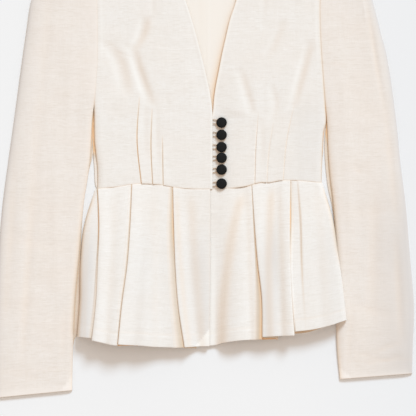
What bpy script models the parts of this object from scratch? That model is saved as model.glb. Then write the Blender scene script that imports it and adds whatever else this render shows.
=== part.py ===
"""Collarless peplum jacket with six looped buttons, laid flat and face up.

Left and right are the wearer's, so the right side of the jacket lies at -X.
Sizes are in millimetres. Tables count X from the centre front and Y from the
waist seam, with +Y towards the neck and Z up from the surface it lies on.
Every piece of cloth is a wall built about the middle of its thickness.
"""

import math
from collections import namedtuple

import bmesh
import bpy
from mathutils import Vector

# Driving sizes
MM = 0.001
CENTRE_FRONT_X = 11.8
WAIST_Y = -54.5
CLOTH = 1.2
LINING = 1.1
SEAM = 0.35
WAIST_SEAM = 0.6
REST = 0.3
SHOULDER_TIP_Y = 361.0
SHOULDER_NECK_Y = 407.5
BACK_NECK_DROP = 15.0
LINING_MARGIN = 14.0
LINING_FOOT_Y = 92.0
LINING_NECK_GAP = 5.0
UNDER_CUFF = 1.5
CLIMB_START_X = 140.0

# Closure
BUTTON_DIAMETER = 14.8
BUTTON_HEAD = 5.2
SHANK_DIAMETER = 5.0
SHANK_HEIGHT = 1.8
BUTTON_X = 13.6
LOOP_CORD = 1.2
LOOP_HALF_WIDTH = 2.8

# Heights of the middle of a wall above the surface
FLAT = CLOTH / 2
LINING_HEIGHT = CLOTH + REST + LINING / 2
BODY_HEIGHT = 5.6
CUFF_HEIGHT = 4.4
SEAM_EDGE = CLOTH + REST + 0.2
SHOULDER_EDGE = CLOTH + REST + FLAT + 0.2
NECK_EDGE = 3.7

# Widths over which a wall rounds down to its edge
BODY_ROLL = 9.0
SLEEVE_ROLL = 11.0
SHOULDER_ROLL = 12.0
PEPLUM_ROLL = 7.0
SLEEVE_TOP_ROLL = 0.035
CUFF_SHARE = 0.12
UNDER_CUFF_SHARE = 0.1

# Lengths over which one shape passes into another
EDGE_SLOPE = 36.0
LAP_FADE = 20.0
UNDERARM_RISE = 15.0
UNDERARM_FADE = 55.0
CLIMB_SHARE = 0.4

# How finely the walls are divided
FRONT_ROWS = 18
PEPLUM_ROWS = 11
SLEEVE_ROWS = 19
BACK_ROWS = 13
ROUND_SIDES = 14

Tuck = namedtuple("Tuck", "waist_x middle_x top_x top_y height on_top")
SoftFold = namedtuple("SoftFold", "top middle foot width height")
SleeveRow = namedtuple("SleeveRow", "outer_x outer_y inner_x inner_y")
Pleat = namedtuple("Pleat", "line slope depth_waist depth_hem gap_waist gap_hem on_top")
Trough = namedtuple("Trough", "line width waist_height hem_height")
Closure = namedtuple("Closure", "button_y loop_y")


def curve(*points):
    """Smooth line through (place, value) pairs, straight beyond its ends."""
    keys = sorted(points)
    last = len(keys) - 1

    def slope(i):
        low = max(i - 1, 0)
        high = min(i + 1, last)
        return (keys[high][1] - keys[low][1]) / (keys[high][0] - keys[low][0])

    slopes = [slope(i) for i in range(last + 1)]

    def read(place_along):
        if place_along <= keys[0][0]:
            return keys[0][1] + slopes[0] * (place_along - keys[0][0])
        if place_along >= keys[last][0]:
            return keys[last][1] + slopes[last] * (place_along - keys[last][0])
        i = next(k for k in range(last) if place_along <= keys[k + 1][0])
        width = keys[i + 1][0] - keys[i][0]
        rise = keys[i + 1][1] - keys[i][1]
        t = (place_along - keys[i][0]) / width
        bend = (slopes[i] * width - rise) * (1 - t) - (slopes[i + 1] * width - rise) * t
        return keys[i][1] + rise * t + t * (1 - t) * bend

    return read


def ladder(*values):
    """Smooth line through values at even steps, read from 0 to 1."""
    steps = len(values) - 1
    return curve(*[(i / steps, value) for i, value in enumerate(values)])


def mix(a, b, t):
    return a + (b - a) * t


def ease(t):
    t = min(max(t, 0.0), 1.0)
    return t * t * (3 - 2 * t)


def spread(start, end, count):
    """Evenly spaced values from start to end, both included."""
    return [mix(start, end, i / (count - 1)) for i in range(count)]


def roll(distance, width):
    """How far a wall has risen at a distance from its rounded edge, from 0 to 1."""
    t = min(max(distance / width, 0.0), 1.0)
    return math.sqrt(t * (2 - t))


# Side lines of the bodice and front edges, read by Y: (y, x)
SIDE_RIGHT = curve(
    (361, -182), (318, -170.5), (276, -164), (240, -162.6), (183, -162.6), (155, -164.3),
    (133, -166), (119, -167), (71, -167), (48, -164.7), (27, -162.6), (0, -162.6))
SIDE_LEFT = curve(
    (361, 173), (318, 162), (276, 154), (240, 153.2), (197, 155), (169, 157), (141, 159),
    (119, 160.5), (95, 162), (80, 158.6), (55, 157), (34, 156), (0, 155.5))
EDGE_RIGHT = curve(
    (407.5, -74), (339, -60.5), (268.4, -37.5), (234, -26.6), (204, -18.5), (167, -9.4),
    (142, -4), (119, -0.3), (105, 0.6), (60, 0.7), (0, 0.7))
EDGE_LEFT = curve(
    (407.5, 64), (339, 51), (268.4, 34.6), (241, 25.6), (214, 19.2), (190, 13.8), (170, 10),
    (147, 5.5), (129, 2.8), (109, 1), (85, -5), (55, -12), (30, -16), (0, -18))
UNDERARM_RIGHT_Y = 183.0
UNDERARM_LEFT_Y = 178.0

# Waist seam read by X: (x, y)
WAIST = curve(
    (-168, 0), (-145, 2), (-125, 4.5), (-113, 6.8), (-94, 7.4), (-72, 5.8), (-59, 3.3),
    (-34, 0.4), (0, -0.3), (20, 0.6), (39, 2.3), (51, 4.3), (68, 9), (82, 9.2), (96, 11.8),
    (115, 12.1), (143, 10.2), (156, 8.8))
BACK_WAIST = curve((-163, 0), (156, 8.8))

# Height of the front edges, read by Y: (y, z)
EDGE_HEIGHT_RIGHT = curve((407, 3.8), (268, 4.3), (150, 4.8), (110, 5.4), (0, 5.4))
EDGE_HEIGHT_LEFT = curve(
    (407, 3.8), (300, 5.2), (200, 5.6), (150, 5.2), (118, 3.8), (60, 3.65), (0, 3.65))
LAP_WIDTH = 22.0
LAP_TOP_Y = 118.0

# Stitched tucks that rise from the waist seam; on_top is 1 where the cloth on the
# wearer's left of the line lies on top
TUCKS_RIGHT = (
    Tuck(waist_x=-100.0, middle_x=-107.0, top_x=-103.0, top_y=132.0, height=1.2, on_top=1),
    Tuck(waist_x=-84.0, middle_x=-86.3, top_x=-84.5, top_y=116.0, height=1.0, on_top=1),
    Tuck(waist_x=-69.0, middle_x=-69.6, top_x=-70.0, top_y=76.0, height=1.0, on_top=1),
)
TUCKS_LEFT = (
    Tuck(waist_x=61.0, middle_x=62.5, top_x=66.3, top_y=112.0, height=1.1, on_top=1),
    Tuck(waist_x=77.0, middle_x=80.0, top_x=87.0, top_y=96.0, height=0.8, on_top=-1),
    Tuck(waist_x=100.0, middle_x=105.0, top_x=117.0, top_y=124.0, height=1.2, on_top=-1),
)
TUCK_FOOT_Y = 8.0
TUCK_STEP = 0.7
TUCK_SLOPE = 8.0

# Soft folds of the bodice and the two shoulder darts, each through three (y, x) places
SOFT_FOLDS = (
    SoftFold(top=(204, -114), middle=(165, -101), foot=(118, -84), width=9.0, height=-1.3),
    SoftFold(top=(240, -90), middle=(220, -98), foot=(196, -110), width=9.0, height=-0.9),
    SoftFold(top=(214, 143), middle=(170, 131), foot=(118, 115), width=9.0, height=-1.6),
    SoftFold(top=(240, 103), middle=(225, 97), foot=(205, 88), width=8.0, height=-0.9),
    SoftFold(top=(150, 45), middle=(128, 53), foot=(100, 62), width=9.0, height=-1.0),
    SoftFold(top=(380, -96), middle=(310, -87), foot=(232, -83), width=4.0, height=-0.9),
    SoftFold(top=(380, 82), middle=(310, 77), foot=(222, 72), width=4.0, height=-0.9),
)

# Sleeves from the shoulder tip to the cuff
SLEEVE_RIGHT = (
    SleeveRow(-184.5, 359.5, -180.5, 354.0),
    SleeveRow(-204.0, 348.5, -175.8, 340.0),
    SleeveRow(-225.0, 327.0, -170.8, 318.0),
    SleeveRow(-242.0, 303.0, -166.0, 290.0),
    SleeveRow(-256.0, 268.5, -163.5, 262.0),
    SleeveRow(-262.5, 228.0, -162.6, 224.0),
    SleeveRow(-268.0, 190.0, -162.6, 186.0),
    SleeveRow(-278.5, 112.0, -169.0, 112.0),
    SleeveRow(-288.0, 44.0, -173.0, 44.0),
    SleeveRow(-297.0, -25.0, -182.5, -25.0),
    SleeveRow(-302.5, -95.0, -188.5, -95.0),
    SleeveRow(-305.5, -160.0, -194.3, -160.0),
    SleeveRow(-308.5, -228.0, -197.2, -225.0),
    SleeveRow(-309.6, -297.0, -198.5, -286.0),
)
SLEEVE_LEFT = (
    SleeveRow(175.5, 359.5, 171.5, 354.0),
    SleeveRow(192.0, 349.5, 167.2, 340.0),
    SleeveRow(206.0, 332.0, 162.0, 318.0),
    SleeveRow(217.0, 303.0, 156.0, 290.0),
    SleeveRow(227.5, 268.5, 153.5, 262.0),
    SleeveRow(238.5, 226.0, 153.6, 224.0),
    SleeveRow(250.0, 179.0, 156.2, 179.0),
    SleeveRow(261.0, 100.0, 162.5, 100.0),
    SleeveRow(267.5, 37.0, 166.0, 37.0),
    SleeveRow(275.0, -23.0, 171.8, -23.0),
    SleeveRow(281.0, -95.0, 176.0, -95.0),
    SleeveRow(286.6, -165.0, 175.8, -160.0),
    SleeveRow(285.0, -222.0, 177.0, -220.0),
    SleeveRow(284.0, -262.0, 181.5, -270.0),
)

# Side and front lines of the peplum, read by the way down from 0 at the waist to 1
PEPLUM_SIDE_RIGHT = ladder(-165.2, -181.0, -186.3, -187.3, -191.0)
PEPLUM_SIDE_LEFT = ladder(156.0, 170.0, 177.5, 185.0, 190.5)
PEPLUM_EDGE_RIGHT = ladder(-2.5, -2.4, -2.4, -3.2, -4.0)
PEPLUM_EDGE_LEFT = ladder(-20.0, -20.0, -20.0, -20.0, -20.0)

# Pleats from left to right of the page. line is the edge of the panel on top, slope the
# width of the cloth that slopes under it, on_top 1 where the panel at +X lies on top
PLEATS_RIGHT = (
    Pleat(line=ladder(-161.5, -159.5, -162.5, -165.5, -171.5), slope=ladder(0.8, 1.2, 1.8, 2.6, 3.6),
          depth_waist=14.0, depth_hem=22.0, gap_waist=1.65, gap_hem=3.2, on_top=1),
    Pleat(line=ladder(-113.0, -115.4, -119.5, -127.0, -132.6), slope=ladder(3.5, 5.0, 5.6, 5.0, 3.2),
          depth_waist=16.0, depth_hem=26.0, gap_waist=1.65, gap_hem=3.6, on_top=1),
    Pleat(line=ladder(-55.0, -53.6, -51.6, -47.2, -38.6), slope=ladder(5.5, 10.0, 10.6, 11.5, 15.0),
          depth_waist=15.0, depth_hem=15.0, gap_waist=1.65, gap_hem=2.8, on_top=1),
)
PLEATS_LEFT = (
    Pleat(line=ladder(57.0, 60.6, 65.0, 71.0, 71.6), slope=ladder(1.2, 1.5, 2.6, 8.5, 9.0),
          depth_waist=16.0, depth_hem=20.0, gap_waist=1.65, gap_hem=5.0, on_top=1),
    Pleat(line=ladder(110.5, 110.0, 110.0, 112.2, 116.2), slope=ladder(4.0, 5.0, 4.0, 3.0, 2.4),
          depth_waist=15.0, depth_hem=18.0, gap_waist=1.65, gap_hem=3.0, on_top=-1),
)
FOLD_CLEARANCE = 1.4

# Inverted strip beside the last pleat: where it ends and how far it lies below
STRIP_LINE = ladder(121.5, 125.5, 127.0, 129.0, 133.0)
STRIP_DROP = ladder(1.6, 2.6, 2.2, 1.2, 0.4)
STRIP_STEP = 2.4

# Hem of each panel, side by side: (x, y)
HEMS_RIGHT = (
    curve((-191, -209.5), (-172, -211)),
    curve((-171, -214), (-157, -217.4), (-141, -221), (-133.5, -221.6)),
    curve((-132.5, -219.9), (-113, -221.2), (-98, -222), (-81, -223.7), (-60, -224.5), (-50, -225.4)),
    curve((-38, -224.4), (-22.5, -223.6), (-4, -223)),
)
HEMS_LEFT = (
    curve((-20, -222.5), (4, -221.8), (14, -218.7), (28, -216), (42, -214.4), (60, -213.6)),
    curve((72, -209.6), (90, -208.6), (116, -207.3)),
    curve((116.5, -202), (139, -199.5), (154, -196.6), (169, -192.7), (190.5, -185.6)),
)
BACK_HEM = curve((-191, -208), (-100, -212), (0, -215), (100, -202), (190.5, -184.5))

# Height of the top layer of the peplum at the waist and at the hem: (x, z)
WAIST_HEIGHTS_RIGHT = (2.3, 5.5, 5.5, 5.5)
LAP_HEIGHT_LEFT = curve((-20, 3.65), (0, 3.68), (8, 3.9), (22, 4.8), (40, 5.5), (60, 5.5))
HEM_HEIGHT_RIGHT = curve(
    (-191, 15), (-183, 18), (-172, 20), (-165, 22), (-145, 24), (-128, 23), (-110, 22.5),
    (-95, 20), (-80, 16.5), (-65, 14.5), (-50, 14), (-38, 13), (-25, 10), (-12, 7.4), (-4, 6.4))
HEM_HEIGHT_LEFT = curve(
    (-20, 3.9), (-6, 4.2), (4, 5.2), (12, 8.5), (22, 14), (34, 17), (46, 16), (58, 14),
    (72, 18), (88, 20.5), (104, 19.5), (116, 18.5), (135, 19), (155, 19), (172, 17.5), (190, 15))

# Soft troughs of the peplum, read by the way down
TROUGHS_RIGHT = (
    Trough(line=ladder(-87.0, -86.5, -86.0, -85.5, -85.0), width=8.0, waist_height=-0.6, hem_height=-1.6),
    Trough(line=ladder(-36.0, -35.0, -33.0, -30.0, -28.0), width=7.0, waist_height=-0.1, hem_height=-0.6),
)
TROUGHS_LEFT = (
    Trough(line=ladder(38.0, 30.0, 22.5, 16.0, 14.0), width=8.0, waist_height=-0.9, hem_height=-1.4),
    Trough(line=ladder(81.0, 81.0, 81.5, 82.0, 83.0), width=7.0, waist_height=-0.6, hem_height=-1.0),
    Trough(line=ladder(47.0, 48.5, 50.5, 52.5, 54.0), width=6.0, waist_height=-0.4, hem_height=-1.0),
)

# The left side of the peplum climbs over the left sleeve, whose inner line is read here
SLEEVE_BESIDE_PEPLUM = ladder(167.0, 173.0, 176.5, 176.0, 175.4)
CLIMB = BODY_HEIGHT + FLAT + REST + 0.3
CLIMB_WIDTH = 14.0

CLOSURES = (
    Closure(button_y=94.2, loop_y=95.6),
    Closure(button_y=76.7, loop_y=77.8),
    Closure(button_y=59.4, loop_y=59.9),
    Closure(button_y=44.2, loop_y=43.7),
    Closure(button_y=27.5, loop_y=26.0),
    Closure(button_y=7.6, loop_y=6.6),
)


def clear_scene():
    for obj in list(bpy.data.objects):
        bpy.data.objects.remove(obj, do_unlink=True)


def finish(name, colour, roughness):
    material = bpy.data.materials.new(name)
    material.use_nodes = True
    shader = material.node_tree.nodes["Principled BSDF"]
    shader.inputs["Base Color"].default_value = (*colour, 1.0)
    shader.inputs["Roughness"].default_value = roughness
    shader.inputs["Metallic"].default_value = 0.0
    return material


def place(x, y, z):
    """Metres in the model's frame from a place on the jacket."""
    return Vector(((x + CENTRE_FRONT_X) * MM, (y + WAIST_Y) * MM, z * MM))


def add_object(name, mesh, material, smooth_angle=50):
    obj = bpy.data.objects.new(name, mesh)
    bpy.context.scene.collection.objects.link(obj)
    mesh.materials.append(material)
    mesh.shade_smooth()
    mesh.set_sharp_from_angle(angle=math.radians(smooth_angle))
    return obj


def wall(name, grid, thickness, material):
    """Closed wall about a grid of points that runs left to right and top to bottom."""
    rows = [[Vector(point) for point in row] for row in grid]
    count = len(rows[0])
    last = len(rows) - 1
    upper = []
    lower = []
    for i, row in enumerate(rows):
        for j, point in enumerate(row):
            across = row[min(j + 1, count - 1)] - row[max(j - 1, 0)]
            down = rows[min(i + 1, last)][j] - rows[max(i - 1, 0)][j]
            out = down.cross(across).normalized() * thickness / 2
            upper.append(place(*(point + out)))
            lower.append(place(*(point - out)))
    under = len(upper)
    faces = []
    for i in range(last):
        for j in range(count - 1):
            a = i * count + j
            b = a + count
            faces.append((a, b, b + 1, a + 1))
            faces.append((under + a, under + a + 1, under + b + 1, under + b))
    for j in range(count - 1):
        foot = last * count + j
        faces.append((j, j + 1, under + j + 1, under + j))
        faces.append((foot + 1, foot, under + foot, under + foot + 1))
    for i in range(last):
        left = i * count
        right = left + count - 1
        faces.append((left + count, left, under + left, under + left + count))
        faces.append((right, right + count, under + right + count, under + right))
    mesh = bpy.data.meshes.new(name)
    mesh.from_pydata(upper + lower, [], faces)
    return add_object(name, mesh, material)


def fold_relief(x, y):
    """Height of the soft folds of the bodice at a place."""
    total = 0.0
    for fold in SOFT_FOLDS:
        if fold.foot[0] < y < fold.top[0]:
            line = curve(fold.foot, fold.middle, fold.top)
            along = (y - fold.foot[0]) / (fold.top[0] - fold.foot[0])
            across = (x - line(y)) / fold.width
            total += fold.height * math.sin(math.pi * along) ** 0.6 * math.exp(-across * across)
    return total


def tuck_line(tuck):
    half_way = (TUCK_FOOT_Y + tuck.top_y) / 2
    return curve((TUCK_FOOT_Y, tuck.waist_x), (half_way, tuck.middle_x), (tuck.top_y, tuck.top_x))


def tuck_relief(x, y, tucks):
    """Height of the tucks, each a step at its line that fades out at its top."""
    total = 0.0
    for tuck in tucks:
        distance = (x - tuck_line(tuck)(y)) * tuck.on_top
        if y < tuck.top_y and distance > 0:
            fade = ease((tuck.top_y - y) / (0.5 * tuck.top_y))
            total += tuck.height * fade * math.exp(-distance / TUCK_SLOPE)
    return total


def freed(underarm, y):
    """1 where the side of the bodice is apart from the sleeve, 0 above the underarm."""
    return ease((underarm + UNDERARM_RISE - y) / UNDERARM_FADE)


def step_share(line, top_y, left, right, shift):
    """Share of the width at which a column follows a line, upright above its top."""
    def share(y):
        y = min(y, top_y)
        return (line(y) + shift - left(y)) / (right(y) - left(y))

    return share


def front_columns(tucks, left, right, spans):
    """Columns across a front as shares of its width, two of them beside each tuck line."""
    stops = [lambda y: 0.0]
    for tuck in tucks:
        for shift in (-TUCK_STEP / 2, TUCK_STEP / 2):
            stops.append(step_share(tuck_line(tuck), tuck.top_y, left, right, shift))
    stops.append(lambda y: 1.0)
    columns = []
    for index, span in enumerate(spans):
        start = stops[2 * index]
        end = stops[2 * index + 1]
        for t in (0.0, *span, 1.0):
            columns.append(lambda y, start=start, end=end, t=t: mix(start(y), end(y), t))
    return columns


def front_height(x, y, edge, edge_height, lap, tucks):
    """Height of a front away from its rounded side and shoulder."""
    lapped = lap * ease((LAP_TOP_Y - y) / LAP_FADE)
    away = ease((abs(x - edge(y)) - lapped) / EDGE_SLOPE)
    return mix(edge_height(y), BODY_HEIGHT, away) + fold_relief(x, y) + tuck_relief(x, y, tucks)


def front_grid(side, edge, edge_height, lap, tucks, spans, underarm, outward):
    """Points of one front. outward is -1 for the right front and 1 for the left."""
    def outline(y):
        return side(y) - outward * (SEAM / 2 + freed(underarm, y) * CLOTH / 2)

    left, right = (outline, edge) if outward < 0 else (edge, outline)
    columns = front_columns(tucks, left, right, spans)
    grid = []
    for t in spread(0.0, 1.0, FRONT_ROWS):
        row = []
        for share in columns:
            at_top = share(SHOULDER_TIP_Y)
            to_neck = at_top if outward < 0 else 1 - at_top
            top_y = mix(SHOULDER_TIP_Y, SHOULDER_NECK_Y, to_neck)
            waist_x = mix(left(TUCK_FOOT_Y), right(TUCK_FOOT_Y), share(TUCK_FOOT_Y))
            y = mix(top_y, WAIST(waist_x) + WAIST_SEAM / 2, t)
            x = mix(left(y), right(y), share(y))
            flat = front_height(x, y, edge, edge_height, lap, tucks)
            edge_z = mix(flat, SEAM_EDGE, freed(underarm, y))
            z = mix(edge_z, flat, roll(abs(x - outline(y)), BODY_ROLL))
            z = mix(mix(SHOULDER_EDGE, NECK_EDGE, to_neck), z, roll(top_y - y, SHOULDER_ROLL))
            row.append((x, y, z))
        grid.append(row)
    return grid


def build_fronts(cloth):
    side_to_tuck = (0.012, 0.04, 0.09, 0.16, 0.35, 0.6, 0.85)
    between = (0.5,)
    tuck_to_edge = (0.12, 0.3, 0.5, 0.7, 0.88)
    right = front_grid(
        SIDE_RIGHT, EDGE_RIGHT, EDGE_HEIGHT_RIGHT, 0.0, TUCKS_RIGHT,
        (side_to_tuck, between, between, tuck_to_edge), UNDERARM_RIGHT_Y, -1)
    left = front_grid(
        SIDE_LEFT, EDGE_LEFT, EDGE_HEIGHT_LEFT, LAP_WIDTH, TUCKS_LEFT,
        (tuck_to_edge, between, between, [1 - t for t in reversed(side_to_tuck)]),
        UNDERARM_LEFT_Y, 1)
    wall("front_right", right, CLOTH, cloth)
    wall("front_left", left, CLOTH, cloth)


def back_neck(share):
    """Height of the back neckline on the page, by the way across it."""
    return SHOULDER_NECK_Y - BACK_NECK_DROP * math.sin(math.pi * share) ** 0.7


def build_back(cloth, lining):
    """Bodice back on the surface, and the lining that shows in the V."""
    neck_shares = (0.305, 0.35, 0.43, 0.5, 0.57, 0.65, 0.7)
    shares = (0.0, 0.1, 0.2, *neck_shares, 0.8, 0.9, 1.0)
    first, last = neck_shares[0], neck_shares[-1]

    def top(share):
        if share < first:
            return mix(SHOULDER_TIP_Y, SHOULDER_NECK_Y, share / first)
        if share > last:
            return mix(SHOULDER_NECK_Y, SHOULDER_TIP_Y, (share - last) / (1 - last))
        return back_neck((share - first) / (last - first))

    grid = []
    for t in spread(0.0, 1.0, BACK_ROWS):
        row = []
        for share in shares:
            foot = BACK_WAIST(mix(SIDE_RIGHT(0.0), SIDE_LEFT(0.0), share)) + SEAM / 2
            y = mix(top(share), foot, t)
            x = mix(SIDE_RIGHT(y) + SEAM / 2, SIDE_LEFT(y) - SEAM / 2, share)
            row.append((x, y, FLAT))
        grid.append(row)
    wall("bodice_back", grid, CLOTH, cloth)

    grid = []
    for t in spread(0.0, 1.0, 9):
        row = []
        for share in spread(0.0, 1.0, 7):
            y = mix(back_neck(share) - LINING_NECK_GAP, LINING_FOOT_Y, t)
            x = mix(EDGE_RIGHT(y) - LINING_MARGIN, EDGE_LEFT(y) + LINING_MARGIN, share)
            row.append((x, y, LINING_HEIGHT))
        grid.append(row)
    wall("back_lining", grid, LINING, lining)


def sleeve_grid(table, side, underarm, outward, shares, rows, upper):
    """Points of an upper sleeve, rounded at its edges, or of the flat under sleeve."""
    outer_x = ladder(*[row.outer_x for row in table])
    outer_y = ladder(*[row.outer_y for row in table])
    inner_x = ladder(*[row.inner_x for row in table])
    inner_y = ladder(*[row.inner_y for row in table])
    grid = []
    for t in rows:
        out_x, out_y, in_y = outer_x(t), outer_y(t), inner_y(t)
        in_x = inner_x(t)
        if in_y > 0:
            seam_x = side(in_y) + outward * SEAM / 2
            in_x = outward * max(outward * in_x, outward * seam_x)
        loose = freed(underarm, in_y)
        width = math.hypot(out_x - in_x, out_y - in_y)
        inset = CLOTH / 2 / width if upper else 0.0
        edge = min(SLEEVE_ROLL, width / 3)
        row = []
        for share in shares:
            s = mix(inset, 1 - inset * loose, share)
            x = mix(out_x, in_x, s)
            y = mix(out_y, in_y, s)
            z = FLAT
            if upper:
                rise = roll(share * width, edge) * mix(1.0, roll((1 - share) * width, edge), loose)
                z = mix(SEAM_EDGE, mix(CUFF_HEIGHT, BODY_HEIGHT, ease((1 - t) / CUFF_SHARE)), rise)
                z = mix(SHOULDER_EDGE, z, roll(t, SLEEVE_TOP_ROLL))
            else:
                y -= UNDER_CUFF * ease((t - 1 + UNDER_CUFF_SHARE) / UNDER_CUFF_SHARE)
            row.append((x, y, z))
        grid.append(row if outward < 0 else row[::-1])
    return grid


def build_sleeves(cloth):
    edge = [0.0, 0.008, 0.03, 0.07]
    upper_shares = edge + spread(0.13, 0.87, 5) + [1 - share for share in reversed(edge)]
    under_shares = spread(0.0, 1.0, 4)
    upper_rows = spread(0.0, 1.0, SLEEVE_ROWS)
    under_rows = spread(0.0, 1.0, SLEEVE_ROWS)
    sides = (
        ("right", SLEEVE_RIGHT, SIDE_RIGHT, UNDERARM_RIGHT_Y, -1),
        ("left", SLEEVE_LEFT, SIDE_LEFT, UNDERARM_LEFT_Y, 1),
    )
    for name, table, side, underarm, outward in sides:
        upper = sleeve_grid(table, side, underarm, outward, upper_shares, upper_rows, True)
        under = sleeve_grid(table, side, underarm, outward, under_shares, under_rows, False)
        wall(f"sleeve_{name}_upper", upper, CLOTH, cloth)
        wall(f"sleeve_{name}_under", under, CLOTH, cloth)


def climb(x, way):
    """How far the left side of the peplum has climbed over the sleeve."""
    near = SLEEVE_BESIDE_PEPLUM(way) - CLIMB_WIDTH + 1
    return CLIMB * ease((x - near) / CLIMB_WIDTH) * ease(way / CLIMB_SHARE)


def pleat_section(pleat, way, low_side, top):
    """Section through one pleat at one level, as (x, z) from left to right.

    The panel on top ends in a round edge, runs back under itself, and comes out
    again below to slope up to the panel beside it. top reads its height by X.
    """
    line = pleat.line(way)
    slope = pleat.slope(way)
    gap = mix(pleat.gap_waist, pleat.gap_hem, way)
    reach = mix(pleat.depth_waist, pleat.depth_hem, way)
    turn = gap / 2
    section = []

    def add(offset, below):
        x = line + pleat.on_top * offset
        section.append((x, top(x) - below))

    foot = top(line) - 2 * gap
    for share, fall in ((1.0, 0.0), (0.65, 0.2), (0.3, 0.75), (0.0, 1.0)):
        x = line - pleat.on_top * (FOLD_CLEARANCE + share * slope)
        section.append((x, mix(low_side, foot, fall)))
    add(0.5 * reach, 2 * gap)
    add(reach, 2 * gap)
    add(reach + 0.87 * turn, 1.75 * gap)
    add(reach + 0.87 * turn, 1.25 * gap)
    add(reach, gap)
    add(0.5 * reach, gap)
    add(turn, gap)
    add(0.13 * turn, 0.75 * gap)
    add(0.13 * turn, 0.25 * gap)
    add(turn, 0.0)
    return section if pleat.on_top > 0 else section[::-1]


def panel_ends(pleat, way):
    """Where the panels on the left and on the right of a pleat end and begin."""
    turn = mix(pleat.gap_waist, pleat.gap_hem, way) / 2
    upper = pleat.line(way) + pleat.on_top * turn
    lower = pleat.line(way) - pleat.on_top * (FOLD_CLEARANCE + pleat.slope(way))
    return (lower, upper) if pleat.on_top > 0 else (upper, lower)


class FrontPeplum:
    """One half of the front peplum: panels side by side, with a pleat between each two."""

    def __init__(self, left, right, pleats, hems, waist_height, hem_height, troughs, outward):
        self.left = left
        self.right = right
        self.pleats = pleats
        self.hems = hems
        self.waist_height = waist_height
        self.hem_height = hem_height
        self.troughs = troughs
        self.outward = outward

    def ends(self, panel, way):
        """First and last X of a panel at one level."""
        start = self.left(way) if panel == 0 else panel_ends(self.pleats[panel - 1], way)[1]
        end = self.right(way) if panel == len(self.pleats) else panel_ends(self.pleats[panel], way)[0]
        return start, end

    def share(self, panel, way, x):
        start, end = self.ends(panel, way)
        return (x - start) / (end - start)

    def at(self, panel, way, share):
        start, end = self.ends(panel, way)
        return mix(start, end, share)

    def height(self, panel, way, x):
        """Height of a panel at one level."""
        share = self.share(panel, way, x)
        low = self.waist_height(panel, self.at(panel, 0.0, share))
        z = mix(low, self.hem_height(self.at(panel, 1.0, share)), way ** 0.9)
        for trough in self.troughs:
            across = (x - trough.line(way)) / trough.width
            z += mix(trough.waist_height, trough.hem_height, way) * math.exp(-across * across)
        if self.outward > 0 and panel == len(self.pleats) and x < STRIP_LINE(way):
            z -= STRIP_DROP(way)
        side = self.left(way) if self.outward < 0 else self.right(way)
        base = SEAM_EDGE + (climb(side + CLOTH, way) if self.outward > 0 else 0.0)
        if panel == (0 if self.outward < 0 else len(self.pleats)):
            z = mix(min(base, z), z, roll(abs(x - side), PEPLUM_ROLL))
        return z

    def y(self, way, waist_x, hem_y):
        return mix(WAIST(waist_x) - WAIST_SEAM / 2, hem_y, way)

    def panel_points(self, panel, way, places):
        """Points of a panel; places read its X by the way down."""
        points = []
        for read in places:
            x = read(way)
            y = self.y(way, read(0.0), self.hems[panel](read(1.0)))
            points.append((x, y, self.height(panel, way, x)))
        return points

    def pleat_points(self, index, way):
        """Points of a pleat, with its hem running from one panel's to the next one's."""
        pleat = self.pleats[index]
        low_panel, top_panel = (index, index + 1) if pleat.on_top > 0 else (index + 1, index)

        def top(level):
            return lambda x: self.height(top_panel, level, x)

        def side(level):
            return self.height(low_panel, level, panel_ends(pleat, level)[0 if pleat.on_top > 0 else 1])

        section = pleat_section(pleat, way, side(way), top(way))
        at_waist = pleat_section(pleat, 0.0, side(0.0), top(0.0))
        first = self.hems[index](self.ends(index, 1.0)[1])
        last = self.hems[index + 1](self.ends(index + 1, 1.0)[0])
        points = []
        for i, (x, z) in enumerate(section):
            hem_y = mix(first, last, ease(i / (len(section) - 1)))
            points.append((x, self.y(way, at_waist[i][0], hem_y), z))
        return points

    def grid(self, columns, rows):
        """Grid of the whole half; columns lists the places of each panel."""
        grid = []
        for way in rows:
            row = []
            for panel, places in enumerate(columns):
                row += self.panel_points(panel, way, places)
                if panel < len(self.pleats):
                    row += self.pleat_points(panel, way)
            grid.append(row)
        return grid


def places_at(peplum, panel, shares):
    return [lambda way, share=share: peplum.at(panel, way, share) for share in shares]


def strip_places(peplum, panel, before, after):
    """Places of the last panel, with two beside the line where the strip ends."""
    def read(stop, t):
        def place_along(way):
            if stop == "before":
                return mix(peplum.ends(panel, way)[0], STRIP_LINE(way) - STRIP_STEP / 2, t)
            return mix(STRIP_LINE(way) + STRIP_STEP / 2, peplum.ends(panel, way)[1], t)

        return place_along

    return [read("before", t) for t in before] + [read("after", t) for t in after]


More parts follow.
